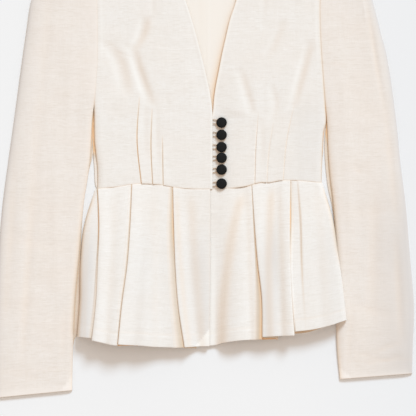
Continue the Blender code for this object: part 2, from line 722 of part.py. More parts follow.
def build_front_peplums(cloth):
    right = FrontPeplum(
        PEPLUM_SIDE_RIGHT, PEPLUM_EDGE_RIGHT, PLEATS_RIGHT, HEMS_RIGHT,
        lambda panel, x: WAIST_HEIGHTS_RIGHT[panel], HEM_HEIGHT_RIGHT, TROUGHS_RIGHT, -1)
    left = FrontPeplum(
        PEPLUM_EDGE_LEFT, PEPLUM_SIDE_LEFT, PLEATS_LEFT, HEMS_LEFT,
        lambda panel, x: LAP_HEIGHT_LEFT(x) if panel == 0 else BODY_HEIGHT,
        HEM_HEIGHT_LEFT, TROUGHS_LEFT, 1)
    rows = spread(0.0, 1.0, PEPLUM_ROWS)
    right_columns = (
        places_at(right, 0, (0.0, 0.09, 0.22, 0.42, 0.7)),
        places_at(right, 1, (0.25, 0.5, 0.75)),
        places_at(right, 2, (0.2, 0.4, 0.6, 0.8)),
        places_at(right, 3, (0.25, 0.5, 0.75, 1.0)),
    )
    left_columns = (
        places_at(left, 0, (0.0, 0.2, 0.35, 0.5, 0.65, 0.82)),
        places_at(left, 1, (0.25, 0.5, 0.75)),
        strip_places(left, 2, (0.5, 1.0), (0.0, 0.25, 0.5, 0.75, 0.86, 0.93, 0.975, 0.993, 1.0)),
    )
    wall("peplum_front_right", right.grid(right_columns, rows), CLOTH, cloth)
    wall("peplum_front_left", left.grid(left_columns, rows), CLOTH, cloth)


def build_back_peplum(cloth):
    """Back peplum, flat but for its left side, which climbs over the sleeve."""
    grid = []
    for way in spread(0.0, 1.0, PEPLUM_ROWS):
        row = []
        left = PEPLUM_SIDE_RIGHT(way) - CLOTH / 2
        right = PEPLUM_SIDE_LEFT(way) + CLOTH / 2
        places = spread(left, CLIMB_START_X, 8) + spread(CLIMB_START_X, right, 9)[1:]
        for x in places:
            share = (x - left) / (right - left)
            waist_x = mix(PEPLUM_SIDE_RIGHT(0.0), PEPLUM_SIDE_LEFT(0.0), share)
            hem_x = mix(PEPLUM_SIDE_RIGHT(1.0), PEPLUM_SIDE_LEFT(1.0), share)
            y = mix(BACK_WAIST(waist_x) - SEAM / 2, BACK_HEM(hem_x), way)
            row.append((x, y, FLAT + climb(x, way)))
        grid.append(row)
    wall("peplum_back", grid, CLOTH, cloth)


def left_front_top(y):
    """Top of the left front where the buttons are sewn on."""
    near = [front_height(BUTTON_X + shift, y, EDGE_LEFT, EDGE_HEIGHT_LEFT, LAP_WIDTH, TUCKS_LEFT)
            for shift in (-SHANK_DIAMETER / 2, 0.0, SHANK_DIAMETER / 2)]
    return max(near) + CLOTH / 2


def turned(name, profile, centre, sides, material):
    """Solid turned about +Z from a profile of (radius, height), from the foot up."""
    mesh = bpy.data.meshes.new(name)
    shape = bmesh.new()
    verts = [shape.verts.new(centre + Vector((radius * MM, 0.0, height * MM)))
             for radius, height in profile]
    edges = [shape.edges.new(pair) for pair in zip(verts, verts[1:])]
    bmesh.ops.spin(shape, geom=verts + edges, cent=centre, axis=(0, 0, 1),
                   angle=2 * math.pi, steps=sides, use_merge=True)
    bmesh.ops.remove_doubles(shape, verts=shape.verts, dist=1e-6)
    bmesh.ops.recalc_face_normals(shape, faces=shape.faces)
    shape.to_mesh(mesh)
    shape.free()
    return add_object(name, mesh, material, 40)


def build_button(number, y, material):
    """Covered button: a domed head on a short shank."""
    radius = BUTTON_DIAMETER / 2
    shank = SHANK_DIAMETER / 2
    top = SHANK_HEIGHT + BUTTON_HEAD
    profile = (
        (0.0, 0.0), (shank, 0.0), (shank, SHANK_HEIGHT), (0.92 * radius, SHANK_HEIGHT + 0.1),
        (radius, SHANK_HEIGHT + 1.2), (0.84 * radius, top - 1.5), (0.45 * radius, top - 0.3),
        (0.0, top),
    )
    centre = place(BUTTON_X, y, left_front_top(y) + REST)
    turned(f"button_{number}", profile, centre, ROUND_SIDES, material)


def build_loop(number, closure, material):
    """Cord loop from the edge of the right front round the shank of a button."""
    edge_x = EDGE_RIGHT(closure.loop_y) + REST + 0.3
    edge_z = EDGE_HEIGHT_RIGHT(closure.loop_y)
    shank_z = left_front_top(closure.button_y) + REST + SHANK_HEIGHT / 2
    around = SHANK_DIAMETER / 2 + REST + LOOP_CORD / 2
    route = [(edge_x, closure.loop_y + LOOP_HALF_WIDTH, edge_z)]
    for angle in (110, 65, 22, -22, -65, -110):
        turn = math.radians(angle)
        route.append((BUTTON_X + around * math.cos(turn),
                      closure.button_y + around * math.sin(turn), shank_z))
    route.append((edge_x, closure.loop_y - LOOP_HALF_WIDTH, edge_z))
    data = bpy.data.curves.new(f"loop_{number}", "CURVE")
    data.dimensions = "3D"
    data.bevel_depth = LOOP_CORD / 2 * MM
    data.bevel_resolution = 1
    data.use_fill_caps = True
    spline = data.splines.new("POLY")
    spline.points.add(len(route) - 1)
    for point, spot in zip(spline.points, route):
        point.co = (*place(*spot), 1.0)
    data.materials.append(material)
    obj = bpy.data.objects.new(f"loop_{number}", data)
    bpy.context.scene.collection.objects.link(obj)


def build_closures(button_cloth, cord):
    for number, closure in enumerate(CLOSURES, start=1):
        build_button(number, closure.button_y, button_cloth)
        build_loop(number, closure, cord)


def main():
    clear_scene()
    body_cloth = finish("ivory linen", (0.86, 0.81, 0.74), 0.8)
    sleeve_cloth = finish("ivory linen, single layer", (0.85, 0.78, 0.71), 0.8)
    lining = finish("cream lining", (0.88, 0.82, 0.72), 0.5)
    button_cloth = finish("black button cloth", (0.012, 0.012, 0.013), 0.7)
    cord = finish("ivory cord", (0.86, 0.8, 0.72), 0.7)
    build_back(body_cloth, lining)
    build_fronts(body_cloth)
    build_back_peplum(body_cloth)
    build_front_peplums(body_cloth)
    build_sleeves(sleeve_cloth)
    build_closures(button_cloth, cord)


main()
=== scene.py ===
"""Peplum jacket in ivory slubbed linen, laid flat and face up on a pale floor.

Left and right are the wearer's, so the right side of the jacket lies at -X.
The tables are in millimetres, X from the centre front, Y up from the waist seam
and Z up from the floor. They are turned into metres in the model's frame where a
mesh is made.
"""

import math
from collections import namedtuple

import bpy
import numpy as np
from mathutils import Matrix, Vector


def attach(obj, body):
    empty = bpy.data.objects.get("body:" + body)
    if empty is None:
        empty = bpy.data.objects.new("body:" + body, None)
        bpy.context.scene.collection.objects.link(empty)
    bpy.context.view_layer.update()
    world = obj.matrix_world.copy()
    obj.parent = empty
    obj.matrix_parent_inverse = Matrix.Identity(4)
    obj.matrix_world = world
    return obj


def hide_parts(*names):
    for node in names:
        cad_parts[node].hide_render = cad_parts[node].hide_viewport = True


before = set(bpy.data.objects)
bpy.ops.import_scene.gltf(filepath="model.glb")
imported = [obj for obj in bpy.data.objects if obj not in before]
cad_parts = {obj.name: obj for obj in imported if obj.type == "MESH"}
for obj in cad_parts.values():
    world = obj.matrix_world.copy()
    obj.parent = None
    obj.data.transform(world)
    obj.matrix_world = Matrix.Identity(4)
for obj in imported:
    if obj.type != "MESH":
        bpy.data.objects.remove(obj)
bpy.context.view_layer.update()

bl_info = {
    "name": "Peplum Jacket",
    "version": (1, 0, 0),
    "blender": (4, 5, 0),
    "location": "View3D > Sidebar > Jacket",
    "description": "Dresses a pleated peplum jacket that lies flat: cloth, closure, sewing and studio",
    "category": "Add Mesh",
}

# Place of the tailor's lines in the model's frame
MM = 0.001
CENTRE_FRONT_X = 11.8
WAIST_Y = -54.5

# The photograph's frame: size of a pixel, and the pixel at the centre front and waist
PIXEL = 1.42
CENTRE_FRONT_PIXEL = 212.0
WAIST_PIXEL = 189.0
PHOTO_SIZE = 416
SENSOR_WIDTH = 36.0

# In metres: half a side of the floor, its drop below the cloth, how far the camera sees
FLOOR_HALF = 30.0
FLOOR_DROP = 0.0003
CLIP_END = 100.0

# Seams, shoulders, lining and cuffs
SEAM = 0.03
WAIST_SEAM = 0.05
REST = 0.3
SHOULDER_TIP_Y = 361.0
SHOULDER_NECK_Y = 407.5
BACK_NECK_DROP = 15.0
LINING_MARGIN = 14.0
LINING_FOOT_Y = 92.0
LINING_NECK_GAP = 5.0
UNDER_CUFF = 0.4
CLIMB_START_X = 140.0

# Buttons and loops
BUTTON_DIAMETER = 15.0
BUTTON_HEAD = 3.3
SHANK_DIAMETER = 5.0
SHANK_HEIGHT = 1.4
BUTTON_X = 13.6
# Height of the rim above the shank, the radius of its rounding, and how full the dome is
RIM_HEIGHT = 1.2
RIM_RADIUS = 1.0
DOME_POWER = 0.86
BUTTON_SIDES = 48
# Each button's weave is turned by this many degrees more than the one above
BUTTON_TURN = 17.0
LOOP_CORD = 1.2
LOOP_HALF_WIDTH = 2.8
# Gap between the edge and the loop's ends, how far these reach back, and the way round a shank
LOOP_GAP = 0.3
LOOP_TACK = 0.2
LOOP_ANGLES = (110, 88, 65, 44, 22, 0, -22, -44, -65, -88, -110)
LOOP_STATIONS = 150
LOOP_TURNS = 16
# Offset and radius of a ply, as shares of the cord's radius
PLY_OFFSET = 0.48
PLY_RADIUS = 0.56
PLY_SIDES = 7

# Thickness of the cloth and heights of its layers above the floor
CLOTH = 1.2
LINING = 1.1
FLAT = CLOTH / 2
LINING_HEIGHT = CLOTH + REST + LINING / 2
BODY_HEIGHT = 5.6
CUFF_HEIGHT = 3.3
SEAM_EDGE = CLOTH + REST + 0.2
SHOULDER_EDGE = CLOTH + REST + FLAT + 0.2
NECK_EDGE = 3.7

# Widths of the rounded edges, and where layers rise, lap and part
BODY_ROLL = 9.0
SLEEVE_ROLL = 11.0
SHOULDER_ROLL = 12.0
PEPLUM_ROLL = 7.0
SLEEVE_TOP_ROLL = 0.019
CUFF_SHARE = 0.12
UNDER_CUFF_SHARE = 0.1
EDGE_SLOPE = 36.0
LAP_FADE = 20.0
UNDERARM_RISE = 15.0
UNDERARM_FADE = 55.0
CLIMB_SHARE = 0.4

# Shares of a colour's red, green and blue: of the linen's in thick and thin yarns, in rosy
# patches, in painted highlights and painted grey shade, and of the crease colour's in a deep crease's
# painted shade
THICK_YARN = (1.045, 1.045, 1.045)
THIN_YARN = (0.92, 0.895, 0.865)
ROSY_PATCH = (0.995, 0.965, 0.94)
HIGHLIGHT = (1.08, 1.08, 1.08)
GREY_SHADE = (0.8, 0.8, 0.81)
DEEP_SHADE = (0.74, 0.85, 1.0)
# Share of the lining's colour in its faint upright bands of painted shade
LINING_BAND_SHADE = (0.985, 0.965, 0.945)
# Share of the floor's colour in its painted shade far toward +X, where the light falls off
FLOOR_FALLOFF_SHADE = (0.9, 0.92, 0.955)

# Places of the colour sockets of a mix node
MIX_COLOUR_A = 6
MIX_COLOUR_B = 7
MIX_COLOUR_RESULT = 2

WEFT_SHARE = 0.65
SLUB_RELIEF = 0.35

HEM_DEPTH = 17.5

# Shift in metres that gives the inner face of the cloth another stretch of the weave
INNER_WEAVE = 0.5

# Rows of each grid
FRONT_ROWS = 190
PEPLUM_ROWS = 120
SLEEVE_ROWS = 150
BACK_ROWS = 60

Tuck = namedtuple("Tuck", "waist_x middle_x top_x top_y height on_top shade")
SoftFold = namedtuple("SoftFold", "top middle foot width height shade")
SleeveRow = namedtuple("SleeveRow", "outer_x outer_y inner_x inner_y")
Pleat = namedtuple("Pleat", "line slope depth_waist depth_hem gap_waist gap_hem on_top shade step spread")
Trough = namedtuple("Trough", "line width waist_height hem_height shade")
Wrinkle = namedtuple("Wrinkle", "start end width height shade")
Closure = namedtuple("Closure", "button_y loop_y")
Cut = namedtuple("Cut", "width length area")
Ridge = namedtuple("Ridge", "height place width")
Waves = namedtuple("Waves", "height across along")


def mix(a, b, t):
    return a + (b - a) * t


def ease(t):
    t = np.clip(t, 0.0, 1.0)
    return t * t * (3 - 2 * t)


def roll(distance, width):
    """How far cloth has risen at a distance from its rounded edge, from 0 to 1."""
    t = np.clip(distance / width, 0.0, 1.0)
    return np.sqrt(t * (2 - t))


def bell(distance, width):
    return np.exp(-(distance / width) ** 2)


def fading(distance, width):
    """1 at an edge, less and less away from it."""
    return np.exp(-distance / width)


def ridge(size, distance):
    """Low ridge at a place along a distance, or a groove where its height is below 0."""
    return size.height * bell(distance - size.place, size.width)


def strongest(*fields):
    return np.maximum.reduce(np.broadcast_arrays(*fields))


def curve(*points):
    """Smooth line through (place, value) pairs, straight beyond its ends."""
    keys = np.array(sorted(points), dtype=float)
    at, value = keys[:, 0], keys[:, 1]
    slopes = np.empty(len(at))
    slopes[1:-1] = (value[2:] - value[:-2]) / (at[2:] - at[:-2])
    slopes[0] = (value[1] - value[0]) / (at[1] - at[0])
    slopes[-1] = (value[-1] - value[-2]) / (at[-1] - at[-2])

    def read(place_along):
        place_along = np.asarray(place_along, dtype=float)
        i = np.clip(np.searchsorted(at, place_along) - 1, 0, len(at) - 2)
        width = at[i + 1] - at[i]
        rise = value[i + 1] - value[i]
        t = (place_along - at[i]) / width
        bend = (slopes[i] * width - rise) * (1 - t) - (slopes[i + 1] * width - rise) * t
        inside = value[i] + rise * t + t * (1 - t) * bend
        before = value[0] + slopes[0] * (place_along - at[0])
        after = value[-1] + slopes[-1] * (place_along - at[-1])
        return np.where(t < 0, before, np.where(t > 1, after, inside))

    return read


def ladder(*values):
    """Smooth line through values at even steps, read from 0 to 1."""
    return curve(*[(i / (len(values) - 1), value) for i, value in enumerate(values)])


def crowded(count):
    """Shares from 0 to 1 that lie closer together near both ends."""
    return 0.5 - 0.5 * np.cos(np.linspace(0.0, math.pi, count))


def ripple(x, y, across, along, seed):
    """Smooth random field from -1 to 1, with cells of a width and a length."""
    lattice = np.random.default_rng(seed).uniform(-1.0, 1.0, (64, 64))
    gx, gy = np.asarray(x) / across, np.asarray(y) / along
    ix, iy = np.floor(gx).astype(int), np.floor(gy).astype(int)
    fx, fy = ease(gx - ix), ease(gy - iy)
    low = mix(lattice[ix % 64, iy % 64], lattice[(ix + 1) % 64, iy % 64], fx)
    high = mix(lattice[ix % 64, (iy + 1) % 64], lattice[(ix + 1) % 64, (iy + 1) % 64], fx)
    return mix(low, high, fy)


def waves(size, x, y, seed):
    return size.height * ripple(x, y, size.across, size.along, seed)


def pixel_x(x):
    """Jacket millimetres from a column of the photograph."""
    return (x - CENTRE_FRONT_PIXEL) * PIXEL


def pixel_y(y):
    """Jacket millimetres from a row of the photograph."""
    return (WAIST_PIXEL - y) * PIXEL


# Side lines of the bodice and front edges, read by Y: (y, x)
SIDE_RIGHT = curve(
    (361, -182), (318, -170.5), (276, -164), (240, -162.6), (183, -162.6), (155, -164.3),
    (133, -166), (119, -167), (71, -167), (48, -164.7), (27, -162.6), (0, -162.6))
SIDE_LEFT = curve(
    (361, 173), (318, 162), (276, 154), (240, 153.2), (197, 155), (169, 157), (141, 159),
    (119, 160.5), (95, 162), (80, 158.6), (55, 157), (34, 156), (0, 155.5))
EDGE_RIGHT = curve(
    (407.5, -74), (339, -60.5), (268.4, -37.5), (234, -26.6), (204, -18.5), (167, -9.4),
    (142, -4), (119, -0.3), (105, 0.6), (60, 0.7), (0, 0.7))
EDGE_LEFT = curve(
    (407.5, 64), (339, 51), (268.4, 34.6), (241, 25.6), (214, 19.2), (190, 13.8), (170, 10),
    (147, 5.5), (129, 2.8), (109, 1), (85, -5), (55, -12), (30, -16), (0, -18))
UNDERARM_RIGHT_Y = 131.0
UNDERARM_LEFT_Y = 130.0

# Waist seam read by X: (x, y)
WAIST = curve(
    (-168, 0), (-145, 2), (-125, 4.5), (-113, 6.8), (-94, 7.4), (-72, 5.8), (-59, 3.3),
    (-34, 0.4), (0, -0.3), (20, 0.6), (39, 2.3), (51, 4.3), (68, 9), (82, 9.2), (96, 11.8),
    (115, 12.1), (143, 10.2), (156, 8.8))
BACK_WAIST = curve((-163, 0), (156, 8.8))

EDGE_HEIGHT_RIGHT = curve((407, 3.8), (268, 4.3), (150, 4.8), (110, 5.4), (0, 5.4))
EDGE_HEIGHT_LEFT = curve(
    (407, 3.8), (300, 5.2), (200, 5.6), (150, 5.2), (118, 3.8), (60, 3.65), (0, 3.65))
LAP_WIDTH = 22.0
LAP_TOP_Y = 118.0

# Stitched tucks; on_top is 1 where the cloth on the wearer's left of the line lies on top
TUCKS_RIGHT = (
    Tuck(waist_x=-100.0, middle_x=-106.0, top_x=-102.5, top_y=132.0, height=1.3, on_top=1, shade=1.0),
    Tuck(waist_x=-84.0, middle_x=-86.3, top_x=-84.5, top_y=116.0, height=1.0, on_top=1, shade=0.8),
    Tuck(waist_x=-69.0, middle_x=-69.6, top_x=-70.0, top_y=76.0, height=1.0, on_top=1, shade=0.7),
)
TUCKS_LEFT = (
    Tuck(waist_x=61.0, middle_x=62.5, top_x=66.3, top_y=112.0, height=1.1, on_top=1, shade=0.24),
    Tuck(waist_x=77.0, middle_x=80.0, top_x=87.0, top_y=96.0, height=0.8, on_top=-1, shade=0.2),
    Tuck(waist_x=100.0, middle_x=105.0, top_x=117.0, top_y=124.0, height=1.2, on_top=-1, shade=0.24),
)
TUCK_FOOT_Y = 8.0
TUCK_STEP = 0.7
TUCK_SLOPE = 8.0
# Share of a tuck's length over which it fades, and the groove beside its step
TUCK_FADE_SHARE = 0.5
TUCK_GROOVE = 0.75
TUCK_GROOVE_OFFSET = 0.5
TUCK_GROOVE_WIDTH = 0.7
TUCK_GROOVE_TAPER = 0.5
TUCK_SHADE_OFFSET = 0.35
TUCK_SHADE_WIDTH = 0.8
TUCK_SHADE_TAPER = 0.35

# Shape of the soft folds: the lit side is wider and gets a painted highlight, the other one gets painted
# shade
FOLD_HEIGHT_SHARE = 0.62
FOLD_TAPER = 0.7
FOLD_WIDTH_SHADED = 0.95
FOLD_WIDTH_LIT = 1.35
FOLD_SHADE = 1.1
FOLD_SHADE_OFFSET = 0.45
FOLD_SHADE_WIDTH = 0.85
FOLD_PALE = 1.8
FOLD_PALE_OFFSET = 1.1
FOLD_PALE_WIDTH = 0.6

# Soft folds of the bodice and the two shoulder darts, each through three (y, x) places
SOFT_FOLDS = (
    SoftFold(top=(206, -114), middle=(165, -102), foot=(116, -85), width=6.8, height=-2.6, shade=0.3),
    SoftFold(top=(246, -93), middle=(222, -98), foot=(196, -110), width=6.8, height=-2.0, shade=0.3),
    SoftFold(top=(212, -151), middle=(180, -131), foot=(130, -120), width=9.0, height=-1.8, shade=0.2),
    SoftFold(top=(196, -136), middle=(190, -124), foot=(187, -112), width=2.4, height=-0.6, shade=0.1),
    SoftFold(top=(214, 141), middle=(172, 130), foot=(112, 114), width=6.0, height=-2.8, shade=0.26),
    SoftFold(top=(240, 101), middle=(218, 93), foot=(180, 76), width=6.0, height=-1.5, shade=0.12),
    SoftFold(top=(172, 40), middle=(138, 49), foot=(104, 58), width=6.0, height=-1.8, shade=0.16),
    SoftFold(top=(150, 84), middle=(122, 90), foot=(96, 86), width=5.0, height=-1.0, shade=0.1),
    SoftFold(top=(128, -94), middle=(90, -95), foot=(40, -92), width=4.0, height=-0.8, shade=0.06),
    SoftFold(top=(118, -78), middle=(76, -78), foot=(30, -76), width=3.5, height=-0.7, shade=0.06),
    SoftFold(top=(100, 70), middle=(66, 71), foot=(26, 69), width=4.0, height=-0.8, shade=0.06),
    SoftFold(top=(380, -96), middle=(310, -87), foot=(232, -83), width=4.0, height=-0.9, shade=0.06),
    SoftFold(top=(380, 82), middle=(310, 77), foot=(222, 72), width=4.0, height=-0.9, shade=0.06),
)

SLEEVE_RIGHT = (
    SleeveRow(-184.5, 359.5, -181.5, 360.7),
    SleeveRow(-204.0, 348.5, -175.8, 340.0),
    SleeveRow(-225.0, 327.0, -170.8, 318.0),
    SleeveRow(-242.0, 303.0, -166.0, 290.0),
    SleeveRow(-256.0, 268.5, -163.5, 262.0),
    SleeveRow(-262.5, 228.0, -162.6, 224.0),
    SleeveRow(-268.0, 190.0, -162.6, 186.0),
    SleeveRow(-278.5, 112.0, -169.0, 112.0),
    SleeveRow(-288.0, 44.0, -173.0, 44.0),
    SleeveRow(-297.0, -25.0, -182.5, -25.0),
    SleeveRow(-302.5, -95.0, -188.5, -95.0),
    SleeveRow(-305.5, -160.0, -194.3, -160.0),
    SleeveRow(-308.5, -228.0, -197.2, -225.0),
    SleeveRow(-309.6, -297.0, -198.5, -286.0),
)
SLEEVE_LEFT = (
    SleeveRow(175.5, 359.5, 172.5, 360.7),
    SleeveRow(192.0, 349.5, 167.2, 340.0),
    SleeveRow(206.0, 332.0, 162.0, 318.0),
    SleeveRow(217.0, 303.0, 156.0, 290.0),
    SleeveRow(227.5, 268.5, 153.5, 262.0),
    SleeveRow(238.5, 226.0, 153.6, 224.0),
    SleeveRow(250.0, 179.0, 156.2, 179.0),
    SleeveRow(261.0, 100.0, 162.5, 100.0),
    SleeveRow(267.5, 37.0, 166.0, 37.0),
    SleeveRow(275.0, -23.0, 171.8, -23.0),
    SleeveRow(281.0, -95.0, 176.0, -95.0),
    SleeveRow(286.6, -165.0, 175.8, -160.0),
    SleeveRow(285.0, -222.0, 177.0, -220.0),
    SleeveRow(284.0, -262.0, 181.5, -270.0),
)

# Warm shade along the two armholes and side gaps, read by Y
ARMHOLE_SHADE_RIGHT = curve(
    (408, 0.1), (268, 0.14), (190, 0.12), (140, 0.15), (122, 0.35), (112, 0.6), (102, 0.9),
    (75, 1.0), (40, 0.7), (0, 0.4))
ARMHOLE_SHADE_LEFT = curve(
    (408, 0.45), (268, 0.5), (190, 0.6), (150, 0.8), (110, 1.0), (70, 0.9), (30, 0.6), (0, 0.4))

# How far the layers below reach into the gap between body and sleeve, read by Y, and the
# stretches of Y in which they do
BACK_REACH_RIGHT = curve(
    (140, 0), (130, 0.0), (120, 0.3), (112, 0.7), (104, 1.1), (92, 1.72), (80, 2.05), (70, 2.3),
    (60, 3.0), (44, 3.9), (10, 3.6), (-2, 0))
BACK_REACH_LEFT = curve(
    (130, 0), (118, 0.0), (110, 0.15), (100, 0.15), (90, 0.4), (80, 0.6), (40, 0.8), (0, 0.2))
SLEEVE_REACH_RIGHT = curve(
    (140, 0), (130, 0.0), (120, 0.15), (112, 0.35), (104, 0.65), (92, 1.02), (80, 1.25), (70, 1.7),
    (60, 2.2), (50, 3.45), (40, 2.2), (26, 0), (-20, 0), (-60, 0.4), (-95, 1.9), (-125, 3.8),
    (-160, 6.1), (-205, 5.6), (-212, 2.0), (-220, 0), (-260, 0))
SLEEVE_REACH_LEFT = curve(
    (125, 0), (108, 0.05), (100, 0.05), (92, 0.5), (84, 2.4), (60, 4.2), (37, 4.6), (0, 4.0),
    (-20, 1.6), (-40, 0), (-60, 0))
BACK_REACH_FOOT_Y = -2.0
SLEEVE_REACH_FOOT_Y = -260.0
REACH_TOP_RIGHT_Y = 160.0
REACH_TOP_LEFT_Y = 130.0

# Warm shade along the inner edge of each sleeve where it is free, read by Y
SLEEVE_GAP_SHADE = {
    "right": curve((160, 0.4), (40, 0.3), (-20, 0.35), (-70, 0.75), (-200, 0.8), (-215, 0.3), (-290, 0.3)),
    "left": curve((125, 0.4), (40, 0.4), (-10, 0.7), (-40, 1.0), (-100, 0.9), (-135, 0.2), (-190, 0.2),
                  (-200, 0.5), (-270, 0.4)),
}

# Soft troughs and ridges of the upper sleeves, their ends as pixels of the photograph
SLEEVE_WRINKLES = {
    "right": (
        Wrinkle(start=(52, -30), end=(40, 120), width=7.0, height=-1.0, shade=0.03),
        Wrinkle(start=(40, 90), end=(30, 260), width=8.0, height=-1.1, shade=0.05),
        Wrinkle(start=(33, 200), end=(22, 372), width=6.0, height=-1.3, shade=0.08),
        Wrinkle(start=(16, 150), end=(6, 330), width=7.0, height=-1.2, shade=0.08),
        Wrinkle(start=(58, 120), end=(55, 300), width=9.0, height=0.9, shade=0.0),
        Wrinkle(start=(72, 40), end=(66, 150), width=8.0, height=0.8, shade=0.0),
        Wrinkle(start=(26, 30), end=(60, 22), width=5.0, height=0.4, shade=0.0),
        Wrinkle(start=(20, 88), end=(70, 104), width=7.0, height=-0.4, shade=0.0),
        Wrinkle(start=(12, 190), end=(60, 176), width=6.0, height=0.4, shade=0.0),
        Wrinkle(start=(8, 236), end=(66, 250), width=8.0, height=-0.5, shade=0.03),
        Wrinkle(start=(2, 300), end=(50, 292), width=6.0, height=0.4, shade=0.0),
        Wrinkle(start=(20, 340), end=(60, 352), width=5.0, height=-0.5, shade=0.03),
        Wrinkle(start=(40, -20), end=(80, -36), width=8.0, height=-0.8, shade=0.05),
        Wrinkle(start=(30, -5), end=(70, 0), width=6.0, height=0.5, shade=0.0),
        Wrinkle(start=(8, 372), end=(44, 380), width=3.5, height=-0.5, shade=0.04),
        Wrinkle(start=(66, 300), end=(62, 372), width=5.0, height=-0.6, shade=0.04),
    ),
    "left": (
        Wrinkle(start=(366, -4), end=(384, 110), width=4.0, height=-1.2, shade=0.1),
        Wrinkle(start=(384, 90), end=(398, 230), width=6.0, height=-1.2, shade=0.08),
        Wrinkle(start=(376, 180), end=(372, 330), width=9.0, height=-1.5, shade=0.08),
        Wrinkle(start=(396, 230), end=(402, 350), width=6.0, height=-1.3, shade=0.1),
        Wrinkle(start=(346, 120), end=(352, 260), width=9.0, height=1.0, shade=0.0),
        Wrinkle(start=(340, 40), end=(346, 140), width=8.0, height=0.8, shade=0.0),
        Wrinkle(start=(329, 63), end=(356, 61), width=2.2, height=-0.5, shade=0.1),
        Wrinkle(start=(352, 168), end=(362, 171), width=3.0, height=-0.6, shade=0.1),
        Wrinkle(start=(340, 120), end=(384, 128), width=7.0, height=0.4, shade=0.0),
        Wrinkle(start=(344, 214), end=(400, 206), width=8.0, height=-0.5, shade=0.03),
        Wrinkle(start=(350, 262), end=(398, 274), width=6.0, height=0.4, shade=0.0),
        Wrinkle(start=(362, 364), end=(404, 356), width=2.4, height=-0.6, shade=0.08),
        Wrinkle(start=(372, 352), end=(400, 342), width=3.0, height=-0.7, shade=0.08),
        Wrinkle(start=(352, 352), end=(380, 358), width=3.5, height=-0.5, shade=0.05),
        Wrinkle(start=(346, -20), end=(372, -40), width=8.0, height=-0.8, shade=0.05),
        Wrinkle(start=(363, -2), end=(365, 24), width=1.6, height=0.6, shade=0.0),
        Wrinkle(start=(340, 300), end=(400, 318), width=9.0, height=-0.5, shade=0.04),
        Wrinkle(start=(352, 300), end=(348, 372), width=5.0, height=-0.6, shade=0.04),
    ),
}

# How a wrinkle fades toward its ends, and the place and width of its shaded wall, in widths
WRINKLE_TAPER = 0.8
WALL_OFFSET = 0.3
WALL_WIDTH = 0.8

# Side and front lines of the peplum, read by the way down from 0 at the waist to 1
PEPLUM_SIDE_RIGHT = ladder(-165.2, -181.0, -186.3, -187.3, -191.0)
PEPLUM_SIDE_LEFT = ladder(156.0, 170.0, 177.5, 185.0, 190.5)
PEPLUM_EDGE_RIGHT = ladder(-2.5, -2.4, -2.4, -3.2, -4.0)
PEPLUM_EDGE_LEFT = ladder(-20.0, -20.0, -20.0, -20.0, -20.0)

# Pleats from left to right of the page. line is the edge of the panel on top, slope the
# width of the cloth that slopes under it, on_top 1 where the panel at +X lies on top
PLEATS_RIGHT = (
    Pleat(line=ladder(-161.5, -159.5, -161.5, -164.0, -169.8), slope=ladder(0.8, 1.2, 2.2, 3.8, 5.0),
          depth_waist=14.0, depth_hem=22.0, gap_waist=1.4, gap_hem=2.2, on_top=1,
          shade=ladder(0.7, 1.0, 0.5, 0.35, 0.5), step=ladder(0.7, 1.0, 0.55, 0.5, 0.65), spread=1.2),
    Pleat(line=ladder(-113.0, -115.4, -119.5, -127.0, -132.6), slope=ladder(3.5, 5.0, 5.6, 5.0, 3.2),
          depth_waist=16.0, depth_hem=26.0, gap_waist=1.4, gap_hem=2.4, on_top=1,
          shade=ladder(0.8, 0.75, 0.7, 0.75, 0.85), step=ladder(0.65, 0.6, 0.6, 0.65, 0.8), spread=3.0),
    Pleat(line=ladder(-55.0, -53.6, -51.6, -47.2, -38.6), slope=ladder(5.5, 10.0, 10.6, 11.5, 15.0),
          depth_waist=15.0, depth_hem=15.0, gap_waist=1.4, gap_hem=2.2, on_top=1,
          shade=ladder(0.75, 0.85, 0.62, 0.6, 0.75), step=ladder(0.6, 0.7, 0.55, 0.5, 0.55), spread=0.75),
)
PLEATS_LEFT = (
    Pleat(line=ladder(57.0, 60.6, 65.0, 71.0, 71.6), slope=ladder(1.2, 1.5, 3.4, 10.5, 12.0),
          depth_waist=16.0, depth_hem=20.0, gap_waist=1.4, gap_hem=3.0, on_top=1,
          shade=ladder(0.5, 0.72, 0.85, 0.82, 0.9), step=ladder(0.5, 0.55, 0.55, 0.45, 0.5), spread=0.6),
    Pleat(line=ladder(110.5, 110.0, 110.0, 112.2, 116.2), slope=ladder(4.0, 5.0, 4.0, 3.0, 2.4),
          depth_waist=15.0, depth_hem=18.0, gap_waist=1.4, gap_hem=2.2, on_top=-1,
          shade=ladder(0.4, 1.0, 0.14, 0.1, 0.4), step=ladder(0.6, 1.0, 0.4, 0.3, 0.85), spread=2.0),
)
FOLD_CLEARANCE = 0.9
# Share of a pleat's step at the waist seam, and how fast the rest of it opens below
PLEAT_WAIST_STEP = 0.35
PLEAT_OPENING = 40.0
SLOPE_COLUMNS = 14
SLOPE_SHADE_START = 0.05
SLOPE_FOOT_SHADE = Ridge(height=0.16, place=0.08, width=0.1)
LOWEST_LAYER_SHARES = (0.03, 0.12, 0.3, 0.55, 0.8, 0.94)
MIDDLE_LAYER_SHARES = (0.94, 0.75, 0.45, 0.2, 0.06)
HIDDEN_TURN_COLUMNS = 9
EDGE_TURN_COLUMNS = 11
EDGE_SHADE_POWER = 0.8
# Marks of a pleat's cloth: in the open, hidden in the pleat, and where it turns inside it
OPEN_LAYER = 0.0
HIDDEN_LAYER = 0.5
DEEPEST_LAYER = 1.0
# How far the layers hidden in a pleat show below the hem of the panel on top
HIDDEN_HEM = 1.6
CREST_HEIGHT = ladder(0.3, 1.4, 2.0, 2.3, 2.4)
CREST = Ridge(height=1.0, place=2.0, width=7.0)
CREST_DIP = Ridge(height=-0.9, place=20.0, width=8.0)
HEM_RISE_POWER = 0.9
TROUGH_WALL_OFFSET = 0.75
TROUGH_WALL_WIDTH = 0.8
# How fast shades set in below the waist seam
SHADE_ONSET = 8.0

